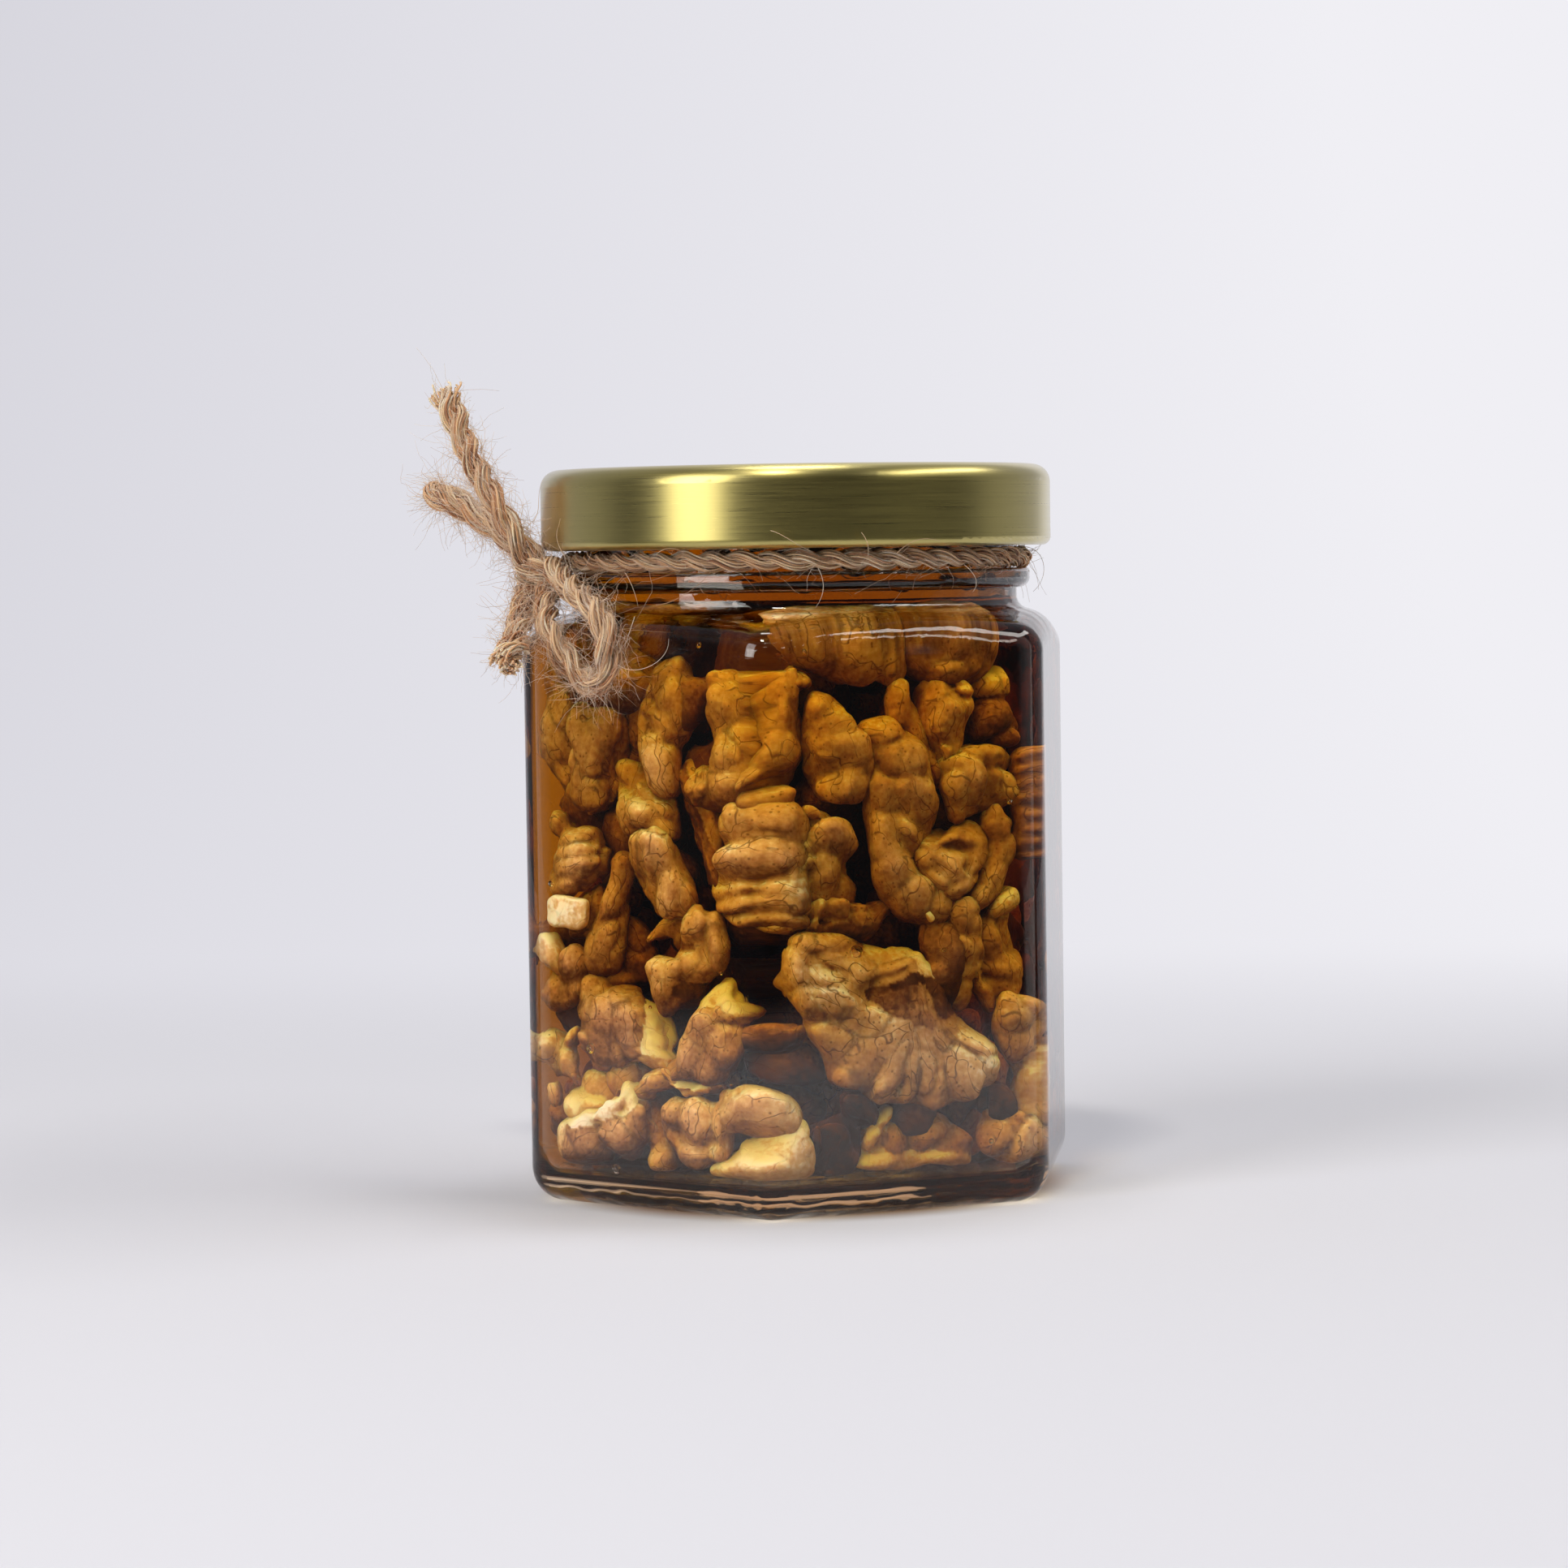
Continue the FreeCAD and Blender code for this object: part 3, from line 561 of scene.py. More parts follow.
def skin_over(field, low, step):
    """The points and quads of a closed skin where a sampled field passes zero."""
    cells = [n - 1 for n in field.shape]
    size = int(np.prod(cells))
    total, count = np.zeros((3, size)), np.zeros(size)
    quads = []
    for axis in range(3):
        first = np.moveaxis(np.moveaxis(field, axis, 0)[:-1], 0, axis)
        last = np.moveaxis(np.moveaxis(field, axis, 0)[1:], 0, axis)
        spot = np.argwhere((first < 0) != (last < 0))
        start, end = first[tuple(spot.T)], last[tuple(spot.T)]
        crossing = spot.astype(float)
        crossing[:, axis] += start / (start - end)
        ring = []
        for left, down in ((0, 0), (-1, 0), (-1, -1), (0, -1)):
            cell = spot.copy()
            cell[:, (axis + 1) % 3] += left
            cell[:, (axis + 2) % 3] += down
            flat = np.ravel_multi_index(cell.T, cells)
            ring.append(flat)
            count += np.bincount(flat, minlength=size)
            for way in range(3):
                total[way] += np.bincount(flat, crossing[:, way], minlength=size)
        ring = np.array(ring).T
        quads.append(np.where((start < 0)[:, None], ring, ring[:, ::-1]))
    used = np.flatnonzero(count)
    number = np.zeros(size, int)
    number[used] = np.arange(len(used))
    return low + step * (total[:, used] / count[used]).T, number[np.concatenate(quads)]


def kernel_mesh(lobes, wrinkle, blend, seed, step, polish=2):
    """One kernel: points, quads and the values at each point that its finish reads."""
    def field_at(points):
        return kernel_field(points, lobes, wrinkle, blend, seed)

    reach = np.array([np.max(size) for _, size, _, _ in lobes])[:, None] + SAMPLE_MARGIN
    centres = np.array([centre for centre, _, _, _ in lobes])
    low, high = (centres - reach).min(axis=0), (centres + reach).max(axis=0)
    shape = np.ceil((high - low) / step).astype(int) + 1
    grid = low + step * np.indices(shape).reshape(3, -1).T
    coarse = np.full(len(grid), 1e3)
    for centre, size, axes, _ in lobes:
        local = (grid - centre) @ axes.T
        for shifted in (local, local - (0, 0, WEB_DEPTH)):
            coarse = np.minimum(coarse, lobe_distance(shifted, size))
    # The full field is worked out only near the skin and near the room's walls.
    at_wall = (coarse < 0) & (outside_room(grid) > -2 * WALL_BLEND)
    close = (np.abs(coarse) < SKIN_BAND) | at_wall
    field = np.where(coarse > 0, 1.0, -1.0)
    field[close] = field_at(grid[close])[0]
    points, quads = skin_over(field.reshape(shape), low, step)
    nudge = 0.05
    # Each round moves the points most of the way to where the field passes zero.
    for _ in range(polish):
        here = field_at(points)[0]
        slope = np.array([field_at(points + nudge * way)[0] - here for way in np.eye(3)]).T / nudge
        points = points - slope * (here / np.maximum((slope**2).sum(axis=1), 0.3))[:, None] * 0.8
    _, furrow_shade, tone, grain = field_at(points)
    return points, quads, {"furrow_shade": furrow_shade, "tone": tone, "grain": grain}


# ---------------------------------------------------------------- walnuts: the kernels at the glass
# Each lobe is (along, up, deep, half length, half width, half thickness, lean, tone): where it
# shows on its wall and how deep it lies, in mm; lean is its long axis from upright towards the
# right, in degrees; tone runs from 0, dark skin, over 0.7, tan, to 1, the cream of a break.
# Kind: (wrinkles, width of the melt between lobes, {wall: lobes}).
HERO = {
    "half_with_fan": (0.1, 1.0, {"right": [
        (-10.6, 34.0, 3.0, 2.8, 1.3, 1.6, 82, 0.62), (-13.6, 33.2, 2.9, 2.3, 1.6, 1.9, 42, 0.66),
        (-14.8, 30.6, 2.6, 2.9, 1.5, 2.0, -4, 0.8), (-13.8, 27.4, 2.4, 2.6, 1.2, 1.8, -28, 0.78),
        (-12.0, 25.4, 2.2, 1.7, 0.8, 1.3, -52, 0.74), (-9.6, 31.6, 4.2, 3.6, 2.1, 1.6, -52, 0.45),
        (-9.6, 27.2, 2.1, 4.6, 2.5, 1.9, -50, 0.8), (-6.6, 24.8, 2.1, 3.6, 1.9, 1.8, -54, 0.8),
        (-6.4, 30.8, 2.6, 2.9, 0.7, 1.1, -58, 0.72), (-3.2, 29.9, 2.5, 2.6, 0.7, 1.1, 84, 0.72),
        (-3.8, 31.4, 4.2, 2.6, 0.9, 1.3, -70, 0.85), (2.0, 29.9, 3.4, 2.8, 0.9, 1.3, -68, 0.85),
        (-5.4, 28.0, 3.8, 3.4, 1.3, 1.2, -66, 0.3), (-3.6, 26.0, 3.6, 3.4, 1.6, 1.3, -30, 0.4),
        (-0.6, 28.4, 3.3, 2.8, 1.0, 1.0, 84, 0.06), (3.2, 28.0, 3.2, 2.4, 1.1, 1.2, -58, 0.22),
        (4.2, 26.4, 3.0, 1.6, 0.9, 1.1, -20, 0.3), (-1.6, 25.4, 3.2, 3.2, 0.8, 1.2, 4, 0.38),
        (0.0, 25.2, 3.1, 3.4, 0.8, 1.3, -14, 0.5), (1.6, 24.8, 2.9, 3.6, 0.8, 1.3, -26, 0.56),
        (3.2, 24.4, 2.9, 3.4, 0.8, 1.3, -36, 0.6), (5.6, 22.8, 2.7, 3.4, 0.9, 1.4, -56, 0.66),
        (-9.6, 22.4, 2.1, 3.4, 1.2, 1.6, 98, 0.78), (-5.0, 20.9, 2.0, 4.2, 1.7, 1.7, 62, 0.78),
        (-7.6, 19.2, 2.2, 2.6, 1.0, 1.4, 72, 0.74), (-2.9, 18.2, 1.9, 3.6, 1.6, 1.7, 34, 0.78),
        (-0.4, 18.0, 1.9, 3.6, 1.2, 1.6, 12, 0.78), (2.8, 17.8, 1.8, 4.6, 2.5, 1.8, -14, 0.8),
        (5.2, 21.4, 2.2, 2.4, 1.6, 1.5, -48, 0.74), (7.9, 17.7, 1.8, 4.0, 2.9, 1.8, -34, 0.8),
        (10.0, 20.6, 2.2, 2.8, 1.1, 1.5, -50, 0.74), (12.0, 18.4, 2.2, 1.5, 0.9, 1.3, -34, 0.84),
    ]}),
}
HALVES = {
    "long_pair_left": (0.28, 0.7, {"left": [
        (-13.4, 67.6, 5.0, 3.2, 1.8, 2.0, 12), (-12.4, 62.8, 4.0, 3.9, 2.4, 2.4, 14),
        (-13.5, 59.2, 3.8, 4.4, 2.6, 2.5, -12), (-12.4, 55.4, 4.0, 2.8, 1.5, 1.8, -24),
    ]}),
    "long_pair_right": (0.42, 0.45, {"left": [
        (-8.6, 59.0, 3.2, 6.2, 1.9, 2.6, 2), (-6.4, 58.4, 3.4, 5.0, 1.3, 2.3, 14),
        (-4.4, 61.2, 3.6, 3.0, 1.9, 2.4, 5), (-8.1, 53.2, 4.6, 3.0, 2.8, 2.6, 20),
        (-4.8, 56.6, 5.2, 3.6, 1.9, 2.6, -5, 0.55),
    ]}),
    "tall_lobe": (0.3, 0.5, {"left": [
        (5.8, 63.6, 4.6, 4.4, 2.7, 2.8, 6), (3.8, 56.5, 3.2, 4.3, 2.8, 2.9, -22),
        (5.0, 67.6, 5.2, 2.8, 1.2, 2.0, 76), (2.4, 65.0, 4.6, 2.4, 1.1, 1.6, 18),
        (1.6, 58.6, 4.0, 4.6, 0.9, 1.8, -6), (-0.3, 61.6, 7.0, 2.9, 1.8, 2.0, 0, 0.5),
    ]}),
    "block_top": (0.32, 0.6, {"left": [
        (12.6, 66.8, 5.0, 2.2, 1.6, 2.0, 86), (17.6, 66.9, 5.8, 3.6, 1.5, 1.8, 90),
        (13.8, 62.8, 4.4, 3.8, 3.1, 2.8, -6), (16.4, 60.2, 5.0, 3.0, 2.2, 2.4, -34),
        (14.2, 57.4, 3.8, 3.0, 2.8, 2.6, 5), (14.0, 54.2, 3.2, 3.6, 2.1, 2.3, 84),
        (10.4, 53.8, 3.3, 1.8, 1.7, 1.9, 20), (8.6, 54.0, 3.6, 2.4, 1.2, 1.6, -24),
    ]}),
    "wrinkled_half": (0.95, 0.5, {"left": [
        (-5.8, 24.6, 3.1, 3.8, 2.9, 2.8, 82, 0.6), (-1.8, 23.8, 2.9, 3.4, 3.0, 2.8, -20, 0.6),
        (-7.0, 21.6, 2.7, 3.4, 2.4, 2.6, 60, 0.6), (-2.8, 21.0, 2.9, 3.6, 2.2, 2.4, 72, 0.62),
        (-8.6, 26.6, 3.6, 2.0, 1.7, 1.8, 30, 0.56), (-3.2, 26.6, 3.2, 2.2, 1.2, 1.7, 80, 0.58),
        (1.7, 22.4, 4.2, 3.8, 1.9, 2.2, -14, 1.0), (0.2, 19.9, 4.2, 2.6, 1.3, 1.8, 66, 0.95),
    ]}),
    "front_oval": (0.26, 0.45, {"left": [
        (16.9, 49.1, 3.8, 4.2, 2.9, 3.0, 84), (17.0, 44.7, 3.6, 4.6, 2.5, 3.0, 87),
        (16.6, 41.0, 4.0, 4.0, 0.8, 2.2, 88, 0.8), (16.8, 39.0, 4.0, 3.9, 1.2, 2.4, 88),
        (17.4, 37.2, 4.2, 3.2, 0.9, 2.0, 86),
    ]}),
    "leaf": (0.2, 0.5, {"right": [
        (-3.3, 60.2, 4.2, 1.9, 2.3, 2.0, 0), (-2.8, 57.6, 4.2, 2.6, 2.4, 2.2, -10),
        (0.6, 57.0, 4.0, 3.2, 2.6, 2.4, -30), (1.4, 52.6, 3.6, 3.6, 2.6, 2.6, -24),
        (-3.8, 52.8, 3.8, 3.0, 2.0, 2.2, -24), (-2.6, 48.4, 3.4, 3.8, 2.6, 2.5, -14),
        (-1.4, 43.8, 3.5, 3.6, 2.6, 2.5, -14), (1.0, 48.6, 3.4, 2.8, 1.6, 2.4, -40),
        (0.8, 39.8, 3.8, 3.4, 2.6, 2.4, -20), (4.0, 38.8, 4.0, 2.6, 2.4, 2.2, -30),
    ]}),
    "front_step": (0.42, 0.4, {"right": [
        (-11.6, 51.0, 3.2, 1.2, 1.6, 1.4, 40), (-8.9, 47.8, 3.2, 3.0, 2.9, 2.6, -10),
        (-10.4, 43.4, 3.4, 3.4, 2.4, 2.4, 0), (-12.5, 45.4, 3.0, 2.8, 0.9, 1.5, -26, 0.75),
        (-14.0, 42.3, 3.0, 2.9, 0.9, 1.4, -6, 0.8), (-8.6, 41.4, 3.8, 2.4, 1.2, 1.6, 20),
        (-10.6, 39.9, 4.0, 3.4, 0.8, 1.6, 82),
    ]}),
    "top_smooth": (0.2, 0.6, {"right": [
        (-12.6, 72.4, 5.0, 5.2, 3.4, 3.0, 98), (-6.4, 71.2, 4.8, 4.6, 3.6, 3.0, 100),
        (-3.0, 70.9, 4.6, 4.0, 1.1, 2.4, -20), (-1.4, 70.6, 4.8, 3.6, 0.9, 2.2, -14),
    ]}),
    "top_right": (0.4, 0.5, {"right": [
        (5.4, 71.6, 5.4, 4.4, 3.8, 3.4, 20, 0.6), (10.2, 71.6, 6.0, 3.8, 2.6, 3.0, -10, 0.55),
        (6.3, 67.8, 4.2, 2.7, 1.8, 2.2, 84, 0.66), (2.0, 70.8, 5.4, 3.8, 2.0, 2.4, -16, 0.6),
        (9.2, 68.6, 5.4, 2.6, 2.3, 2.4, 30, 0.6),
    ]}),
}
LOBES = {
    "top_left": (0.3, 0.5, {"left": [
        (-11.0, 74.2, 7.0, 4.4, 2.6, 2.6, 80, 0.6), (-3.6, 74.8, 8.0, 4.6, 2.4, 2.6, 98, 0.56),
        (4.0, 74.0, 7.0, 3.6, 2.6, 2.6, 70, 0.6), (8.4, 75.2, 8.0, 3.0, 2.2, 2.4, 40, 0.56),
    ]}),
    "thin_pair": (0.2, 0.5, {"right": [
        (-14.6, 65.2, 3.8, 2.9, 1.4, 1.6, 4), (-14.9, 61.4, 3.6, 2.4, 1.0, 1.2, -6),
        (-15.7, 57.4, 3.2, 2.8, 1.4, 1.6, 26), (-18.2, 54.6, 3.6, 2.4, 0.9, 1.2, 54),
    ]}),
    "stack_of_lobes": (0.26, 0.4, {"right": [
        (-11.2, 63.9, 3.6, 1.5, 1.6, 1.6, 0), (-9.7, 61.6, 3.4, 2.5, 1.9, 2.0, 60),
        (-9.1, 58.2, 3.1, 3.0, 3.2, 2.6, 0), (-8.9, 53.7, 2.9, 2.5, 2.6, 2.4, 0),
        (-6.8, 55.0, 3.6, 1.8, 1.4, 1.7, 20),
    ]}),
    "small_knot": (0.36, 0.4, {"left": [
        (-1.6, 55.3, 5.0, 1.7, 1.5, 1.6, 0), (-1.8, 50.8, 4.2, 3.1, 1.7, 1.9, -8),
        (1.0, 50.4, 3.6, 2.3, 2.2, 2.2, 20), (2.6, 52.8, 4.0, 3.6, 1.1, 1.6, -42),
        (3.8, 48.4, 4.6, 2.2, 1.1, 1.6, -50),
    ]}),
    "drop": (0.3, 0.4, {"left": [
        (2.9, 45.2, 3.3, 3.4, 2.6, 2.8, 80), (5.3, 41.3, 3.1, 3.3, 3.1, 2.8, -30),
        (-0.2, 45.2, 3.8, 1.7, 1.6, 1.8, 30), (2.2, 42.0, 4.0, 3.6, 1.5, 2.0, -38),
    ]}),
    "ribbed_lobe": (0.34, 0.3, {"left": [
        (-12.8, 49.0, 4.0, 2.0, 1.6, 1.8, 70), (-9.8, 47.5, 3.1, 2.9, 1.4, 2.4, 76),
        (-9.4, 45.5, 3.0, 3.2, 1.2, 2.6, 84), (-9.4, 43.7, 3.0, 3.2, 1.2, 2.6, 80),
        (-10.2, 41.9, 3.2, 2.9, 1.2, 2.3, 70), (-12.4, 41.4, 3.4, 2.2, 1.2, 1.6, 62),
    ]}),
    "curl": (0.5, 0.4, {"left": [
        (5.0, 36.5, 5.0, 3.4, 0.9, 1.4, 62, 0.6), (9.4, 36.2, 3.2, 2.8, 1.2, 1.8, 80),
        (11.7, 33.6, 3.0, 2.8, 1.3, 1.8, -14), (9.9, 31.5, 3.2, 2.2, 1.0, 1.6, 60),
        (7.0, 31.8, 2.6, 2.5, 1.5, 1.8, 72), (3.4, 31.0, 2.8, 1.2, 1.2, 1.3, 0),
        (3.4, 28.6, 3.0, 2.1, 1.2, 1.6, 8), (5.4, 26.9, 3.6, 2.2, 1.0, 1.6, 80, 0.5),
        (7.8, 28.8, 4.4, 2.8, 1.9, 1.8, 40, 0.36), (8.6, 34.0, 4.6, 2.2, 1.8, 1.6, 0, 0.36),
    ]}),
    "gold_fold": (0.8, 0.3, {"left": [
        (-12.0, 21.8, 3.2, 2.4, 0.9, 1.6, 16, 0.82), (-12.7, 18.6, 3.0, 2.6, 1.2, 1.6, -12, 0.82),
        (-11.2, 16.6, 3.2, 2.1, 0.9, 1.4, -44, 0.76), (-14.8, 13.7, 3.0, 1.6, 1.2, 1.5, 0, 0.66),
        (-15.4, 20.4, 4.0, 2.6, 1.9, 2.0, 10, 0.76),
    ]}),
    "slab": (0.4, 0.36, {"left": [
        (4.5, 13.5, 2.9, 2.3, 1.6, 2.0, 5), (8.2, 13.1, 2.7, 2.8, 2.1, 2.2, 8),
        (11.6, 12.0, 2.5, 3.8, 1.0, 1.6, 12), (14.4, 13.7, 2.5, 2.6, 2.2, 2.0, 70, 0.8),
        (17.8, 13.7, 2.4, 2.6, 2.3, 2.0, 85, 0.8), (7.6, 8.4, 3.0, 2.5, 2.2, 2.2, 84, 0.68),
        (4.2, 10.2, 3.4, 2.2, 1.3, 1.6, -30, 0.64), (11.2, 9.4, 2.7, 1.5, 1.3, 1.5, 0, 0.76),
    ], "right": [(-16.4, 12.6, 2.4, 2.2, 1.2, 1.8, 0, 0.82)]}),
    "twist": (0.62, 0.4, {"left": [
        (12.4, 28.0, 4.4, 3.3, 1.6, 1.8, 58, 0.95), (14.0, 26.6, 4.6, 1.8, 1.5, 1.8, 0, 0.86),
        (10.6, 23.9, 3.1, 3.4, 1.7, 2.0, 48, 0.58), (7.6, 20.7, 2.9, 3.2, 1.7, 2.0, 46, 0.62),
        (13.5, 22.8, 4.0, 3.8, 2.3, 2.2, -8, 0.62), (11.2, 19.6, 3.8, 2.4, 2.1, 2.0, 40, 0.56),
        (5.4, 18.6, 3.4, 2.0, 1.5, 1.6, 60, 0.56), (1.0, 16.8, 3.6, 2.8, 1.4, 1.6, 62, 0.62),
        (-2.8, 16.0, 4.2, 2.2, 0.9, 1.2, 64, 0.5),
    ]}),
    "front_nubs": (0.3, 0.4, {"right": [
        (-15.6, 52.7, 3.0, 2.0, 0.8, 1.1, 74, 0.8), (-17.0, 50.8, 3.6, 2.0, 0.9, 1.2, -20),
        (-15.0, 50.3, 2.6, 1.7, 0.8, 0.9, -40, 0.8), (-13.9, 48.9, 2.2, 1.0, 0.7, 0.8, -34, 1.0),
    ]}),
    "row_under": (0.5, 0.35, {"right": [
        (-15.8, 37.9, 3.0, 2.5, 1.2, 1.5, 52, 0.8), (-12.3, 38.3, 2.8, 1.8, 0.7, 1.1, 22, 0.85),
        (-9.3, 38.4, 3.2, 1.9, 1.5, 1.6, 70, 0.72), (-6.0, 38.0, 4.0, 1.6, 1.5, 1.6, 0, 0.6),
        (-9.6, 36.0, 4.6, 5.2, 1.1, 1.6, 84, 0.3), (-3.6, 37.2, 5.0, 3.0, 1.1, 1.6, 66, 0.36),
    ]}),
    "coil": (0.7, 0.3, {"right": [
        (3.3, 45.5, 2.9, 2.1, 1.0, 1.5, 30), (5.2, 47.0, 2.8, 2.2, 0.9, 1.5, 84),
        (7.6, 46.1, 2.8, 2.0, 1.0, 1.5, -40), (8.3, 43.4, 2.9, 2.2, 1.0, 1.5, 8),
        (6.6, 41.3, 2.7, 2.2, 1.1, 1.5, 66), (4.0, 42.4, 2.7, 2.1, 1.1, 1.5, -46),
        (5.8, 44.2, 2.6, 2.0, 1.1, 1.4, -30, 0.76),
    ]}),
    "long_lobes": (0.3, 0.4, {"right": [
        (-0.6, 63.6, 4.6, 3.4, 1.4, 1.7, -8), (1.2, 59.8, 4.8, 3.2, 1.4, 1.7, -20),
        (3.0, 56.0, 5.2, 3.2, 1.2, 1.6, -24, 0.5),
    ]}),
    "wrinkled_right": (0.6, 0.4, {"right": [
        (4.2, 64.4, 4.0, 1.9, 1.8, 1.8, 0), (5.5, 61.0, 3.5, 4.0, 2.3, 2.4, -12),
        (6.4, 57.3, 3.6, 2.4, 1.7, 2.0, -10), (8.0, 63.8, 4.0, 2.3, 0.8, 1.4, -8, 0.85),
        (3.3, 60.6, 4.4, 4.4, 1.0, 1.8, -14, 0.6),
    ]}),
    "right_ball": (0.6, 0.35, {"right": [
        (9.8, 53.6, 2.9, 3.5, 3.1, 2.8, 20), (11.6, 56.9, 3.4, 2.4, 1.6, 2.0, 80),
        (15.1, 53.4, 4.0, 1.9, 1.3, 1.6, 10, 0.8), (13.4, 54.4, 3.4, 2.8, 0.9, 1.8, 4),
        (7.2, 52.6, 3.6, 2.8, 1.0, 1.8, -10),
    ]}),
    "crescent": (0.4, 0.5, {"right": [
        (12.5, 48.6, 3.8, 2.6, 1.3, 1.6, -6, 0.64), (13.0, 45.6, 3.6, 2.8, 1.4, 1.6, 6, 0.64),
        (11.9, 42.4, 3.8, 2.8, 1.3, 1.6, 26, 0.62), (9.9, 39.7, 4.0, 2.4, 1.2, 1.5, 42, 0.6),
    ]}),
    "amber_ball": (0.22, 0.5, {"right": [
        (8.4, 37.1, 3.4, 2.6, 2.1, 2.2, 5, 0.66), (7.6, 33.6, 3.8, 2.4, 2.3, 2.2, 0, 0.6),
        (7.0, 30.2, 4.2, 2.8, 1.9, 1.8, 8, 0.78), (7.3, 27.0, 4.4, 2.5, 1.7, 1.8, 0, 0.84),
        (9.0, 31.6, 4.0, 1.3, 0.9, 1.2, 20, 0.88),
    ]}),
    "right_edge": (0.3, 0.6, {"right": [
        (12.3, 34.4, 5.6, 3.4, 2.3, 2.4, -20, 0.6), (14.0, 29.4, 5.4, 3.6, 2.4, 2.4, -6, 0.62),
        (13.8, 38.8, 4.4, 2.6, 1.5, 1.8, 70, 0.82), (10.6, 28.4, 4.8, 3.6, 0.9, 1.6, -20, 0.68),
    ]}),
    "side_column": (0.3, 0.5, {"right": [
        (14.0, 24.8, 3.8, 2.8, 2.1, 2.2, 0, 0.74), (14.4, 21.2, 4.2, 2.6, 2.1, 2.0, 0, 0.72),
        (16.8, 16.4, 4.4, 3.2, 2.1, 2.0, 10, 0.88), (16.6, 12.8, 4.6, 2.2, 1.9, 1.8, 0, 0.84),
    ]}),
    "corner_foot": (0.4, 0.4, {"right": [
        (12.4, 9.5, 3.4, 2.6, 2.1, 2.2, 30, 0.66), (17.2, 8.4, 2.3, 3.0, 1.8, 2.0, 0, 0.8),
        (14.8, 11.2, 3.6, 1.6, 1.4, 1.4, 0, 0.6), (16.4, 6.2, 2.6, 1.8, 1.3, 1.6, 60, 0.76),
    ]}),
    "left_balls": (0.4, 0.4, {"left": [
        (-12.1, 30.7, 2.8, 2.4, 2.0, 2.1, 10, 0.56), (-10.8, 28.2, 3.0, 1.8, 1.4, 1.6, -30, 0.56),
        (-14.0, 27.0, 3.4, 2.8, 2.0, 2.2, 80, 0.6), (-5.8, 29.2, 6.0, 3.2, 2.2, 2.4, 84, 0.5),
        (-2.0, 33.0, 8.0, 4.2, 3.0, 2.6, -30, 0.4),
    ]}),
}
BROKEN = {
    "pale_jag": (0.4, 0.4, {"left": [
        (-15.3, 32.6, 2.8, 2.4, 1.6, 1.6, -20, 0.9), (-14.2, 30.8, 2.8, 1.4, 0.9, 1.2, -40, 0.88),
    ]}),
    "pale_tips": (0.2, 0.5, {"left": [
        (-11.8, 12.9, 2.6, 1.7, 1.8, 1.6, 0, 1.0), (-9.2, 13.6, 3.4, 2.4, 1.5, 1.6, 80, 0.92),
        (-7.4, 15.8, 5.8, 3.0, 2.6, 2.4, 40, 0.84),
    ]}),
    "broken_face": (0.9, 0.35, {"left": [
        (-5.6, 12.5, 2.3, 5.0, 1.3, 1.6, 58, 0.97), (-1.8, 13.3, 2.6, 2.2, 1.5, 1.8, 40, 0.92),
        (-8.8, 10.4, 2.3, 2.6, 1.1, 1.5, 62, 0.97), (-0.8, 11.0, 3.2, 2.8, 2.1, 2.4, 0, 0.58),
        (-3.6, 8.8, 3.0, 3.6, 2.4, 2.4, 80, 0.52), (-8.8, 8.0, 3.0, 3.2, 2.1, 2.2, 85, 0.54),
        (-11.0, 6.8, 3.0, 2.2, 1.6, 2.0, 20, 0.62), (-13.5, 8.0, 2.6, 1.8, 0.7, 1.0, 0, 0.84),
    ]}),
    "long_pale": (0.12, 0.6, {"left": [
        (13.6, 7.0, 4.2, 3.4, 1.5, 1.8, 84, 0.9), (17.8, 7.4, 3.8, 3.2, 1.7, 1.9, 84, 0.9),
    ], "right": [
        (-17.4, 8.0, 3.4, 2.8, 1.7, 1.9, 68, 0.9), (-15.3, 10.6, 3.0, 2.8, 1.6, 1.8, 12, 0.9),
    ]}),
    "bottom_pale": (0.24, 0.5, {"right": [
        (-5.0, 11.0, 4.0, 3.3, 1.2, 1.5, 38, 0.92), (-1.8, 9.5, 5.0, 2.0, 1.9, 1.8, 0, 0.66),
        (2.8, 10.6, 5.4, 3.0, 2.0, 2.2, 90, 0.72), (6.2, 8.6, 5.4, 3.0, 1.8, 1.8, 80, 0.66),
        (-3.6, 7.2, 4.4, 4.8, 1.1, 1.6, 84, 0.95), (4.0, 6.8, 5.0, 4.4, 1.0, 1.5, 92, 0.9),
    ]}),
}
# Squarish cream chips: (wall, along, up, deep, half sizes, lean, tone).
CHIPS = (
    ("left", -11.9, 37.7, 1.6, (2.1, 3.3, 1.3), 3, 0.95),
    ("right", 3.1, 37.3, 2.2, (0.7, 0.45, 0.5), -30, 1.0),
)
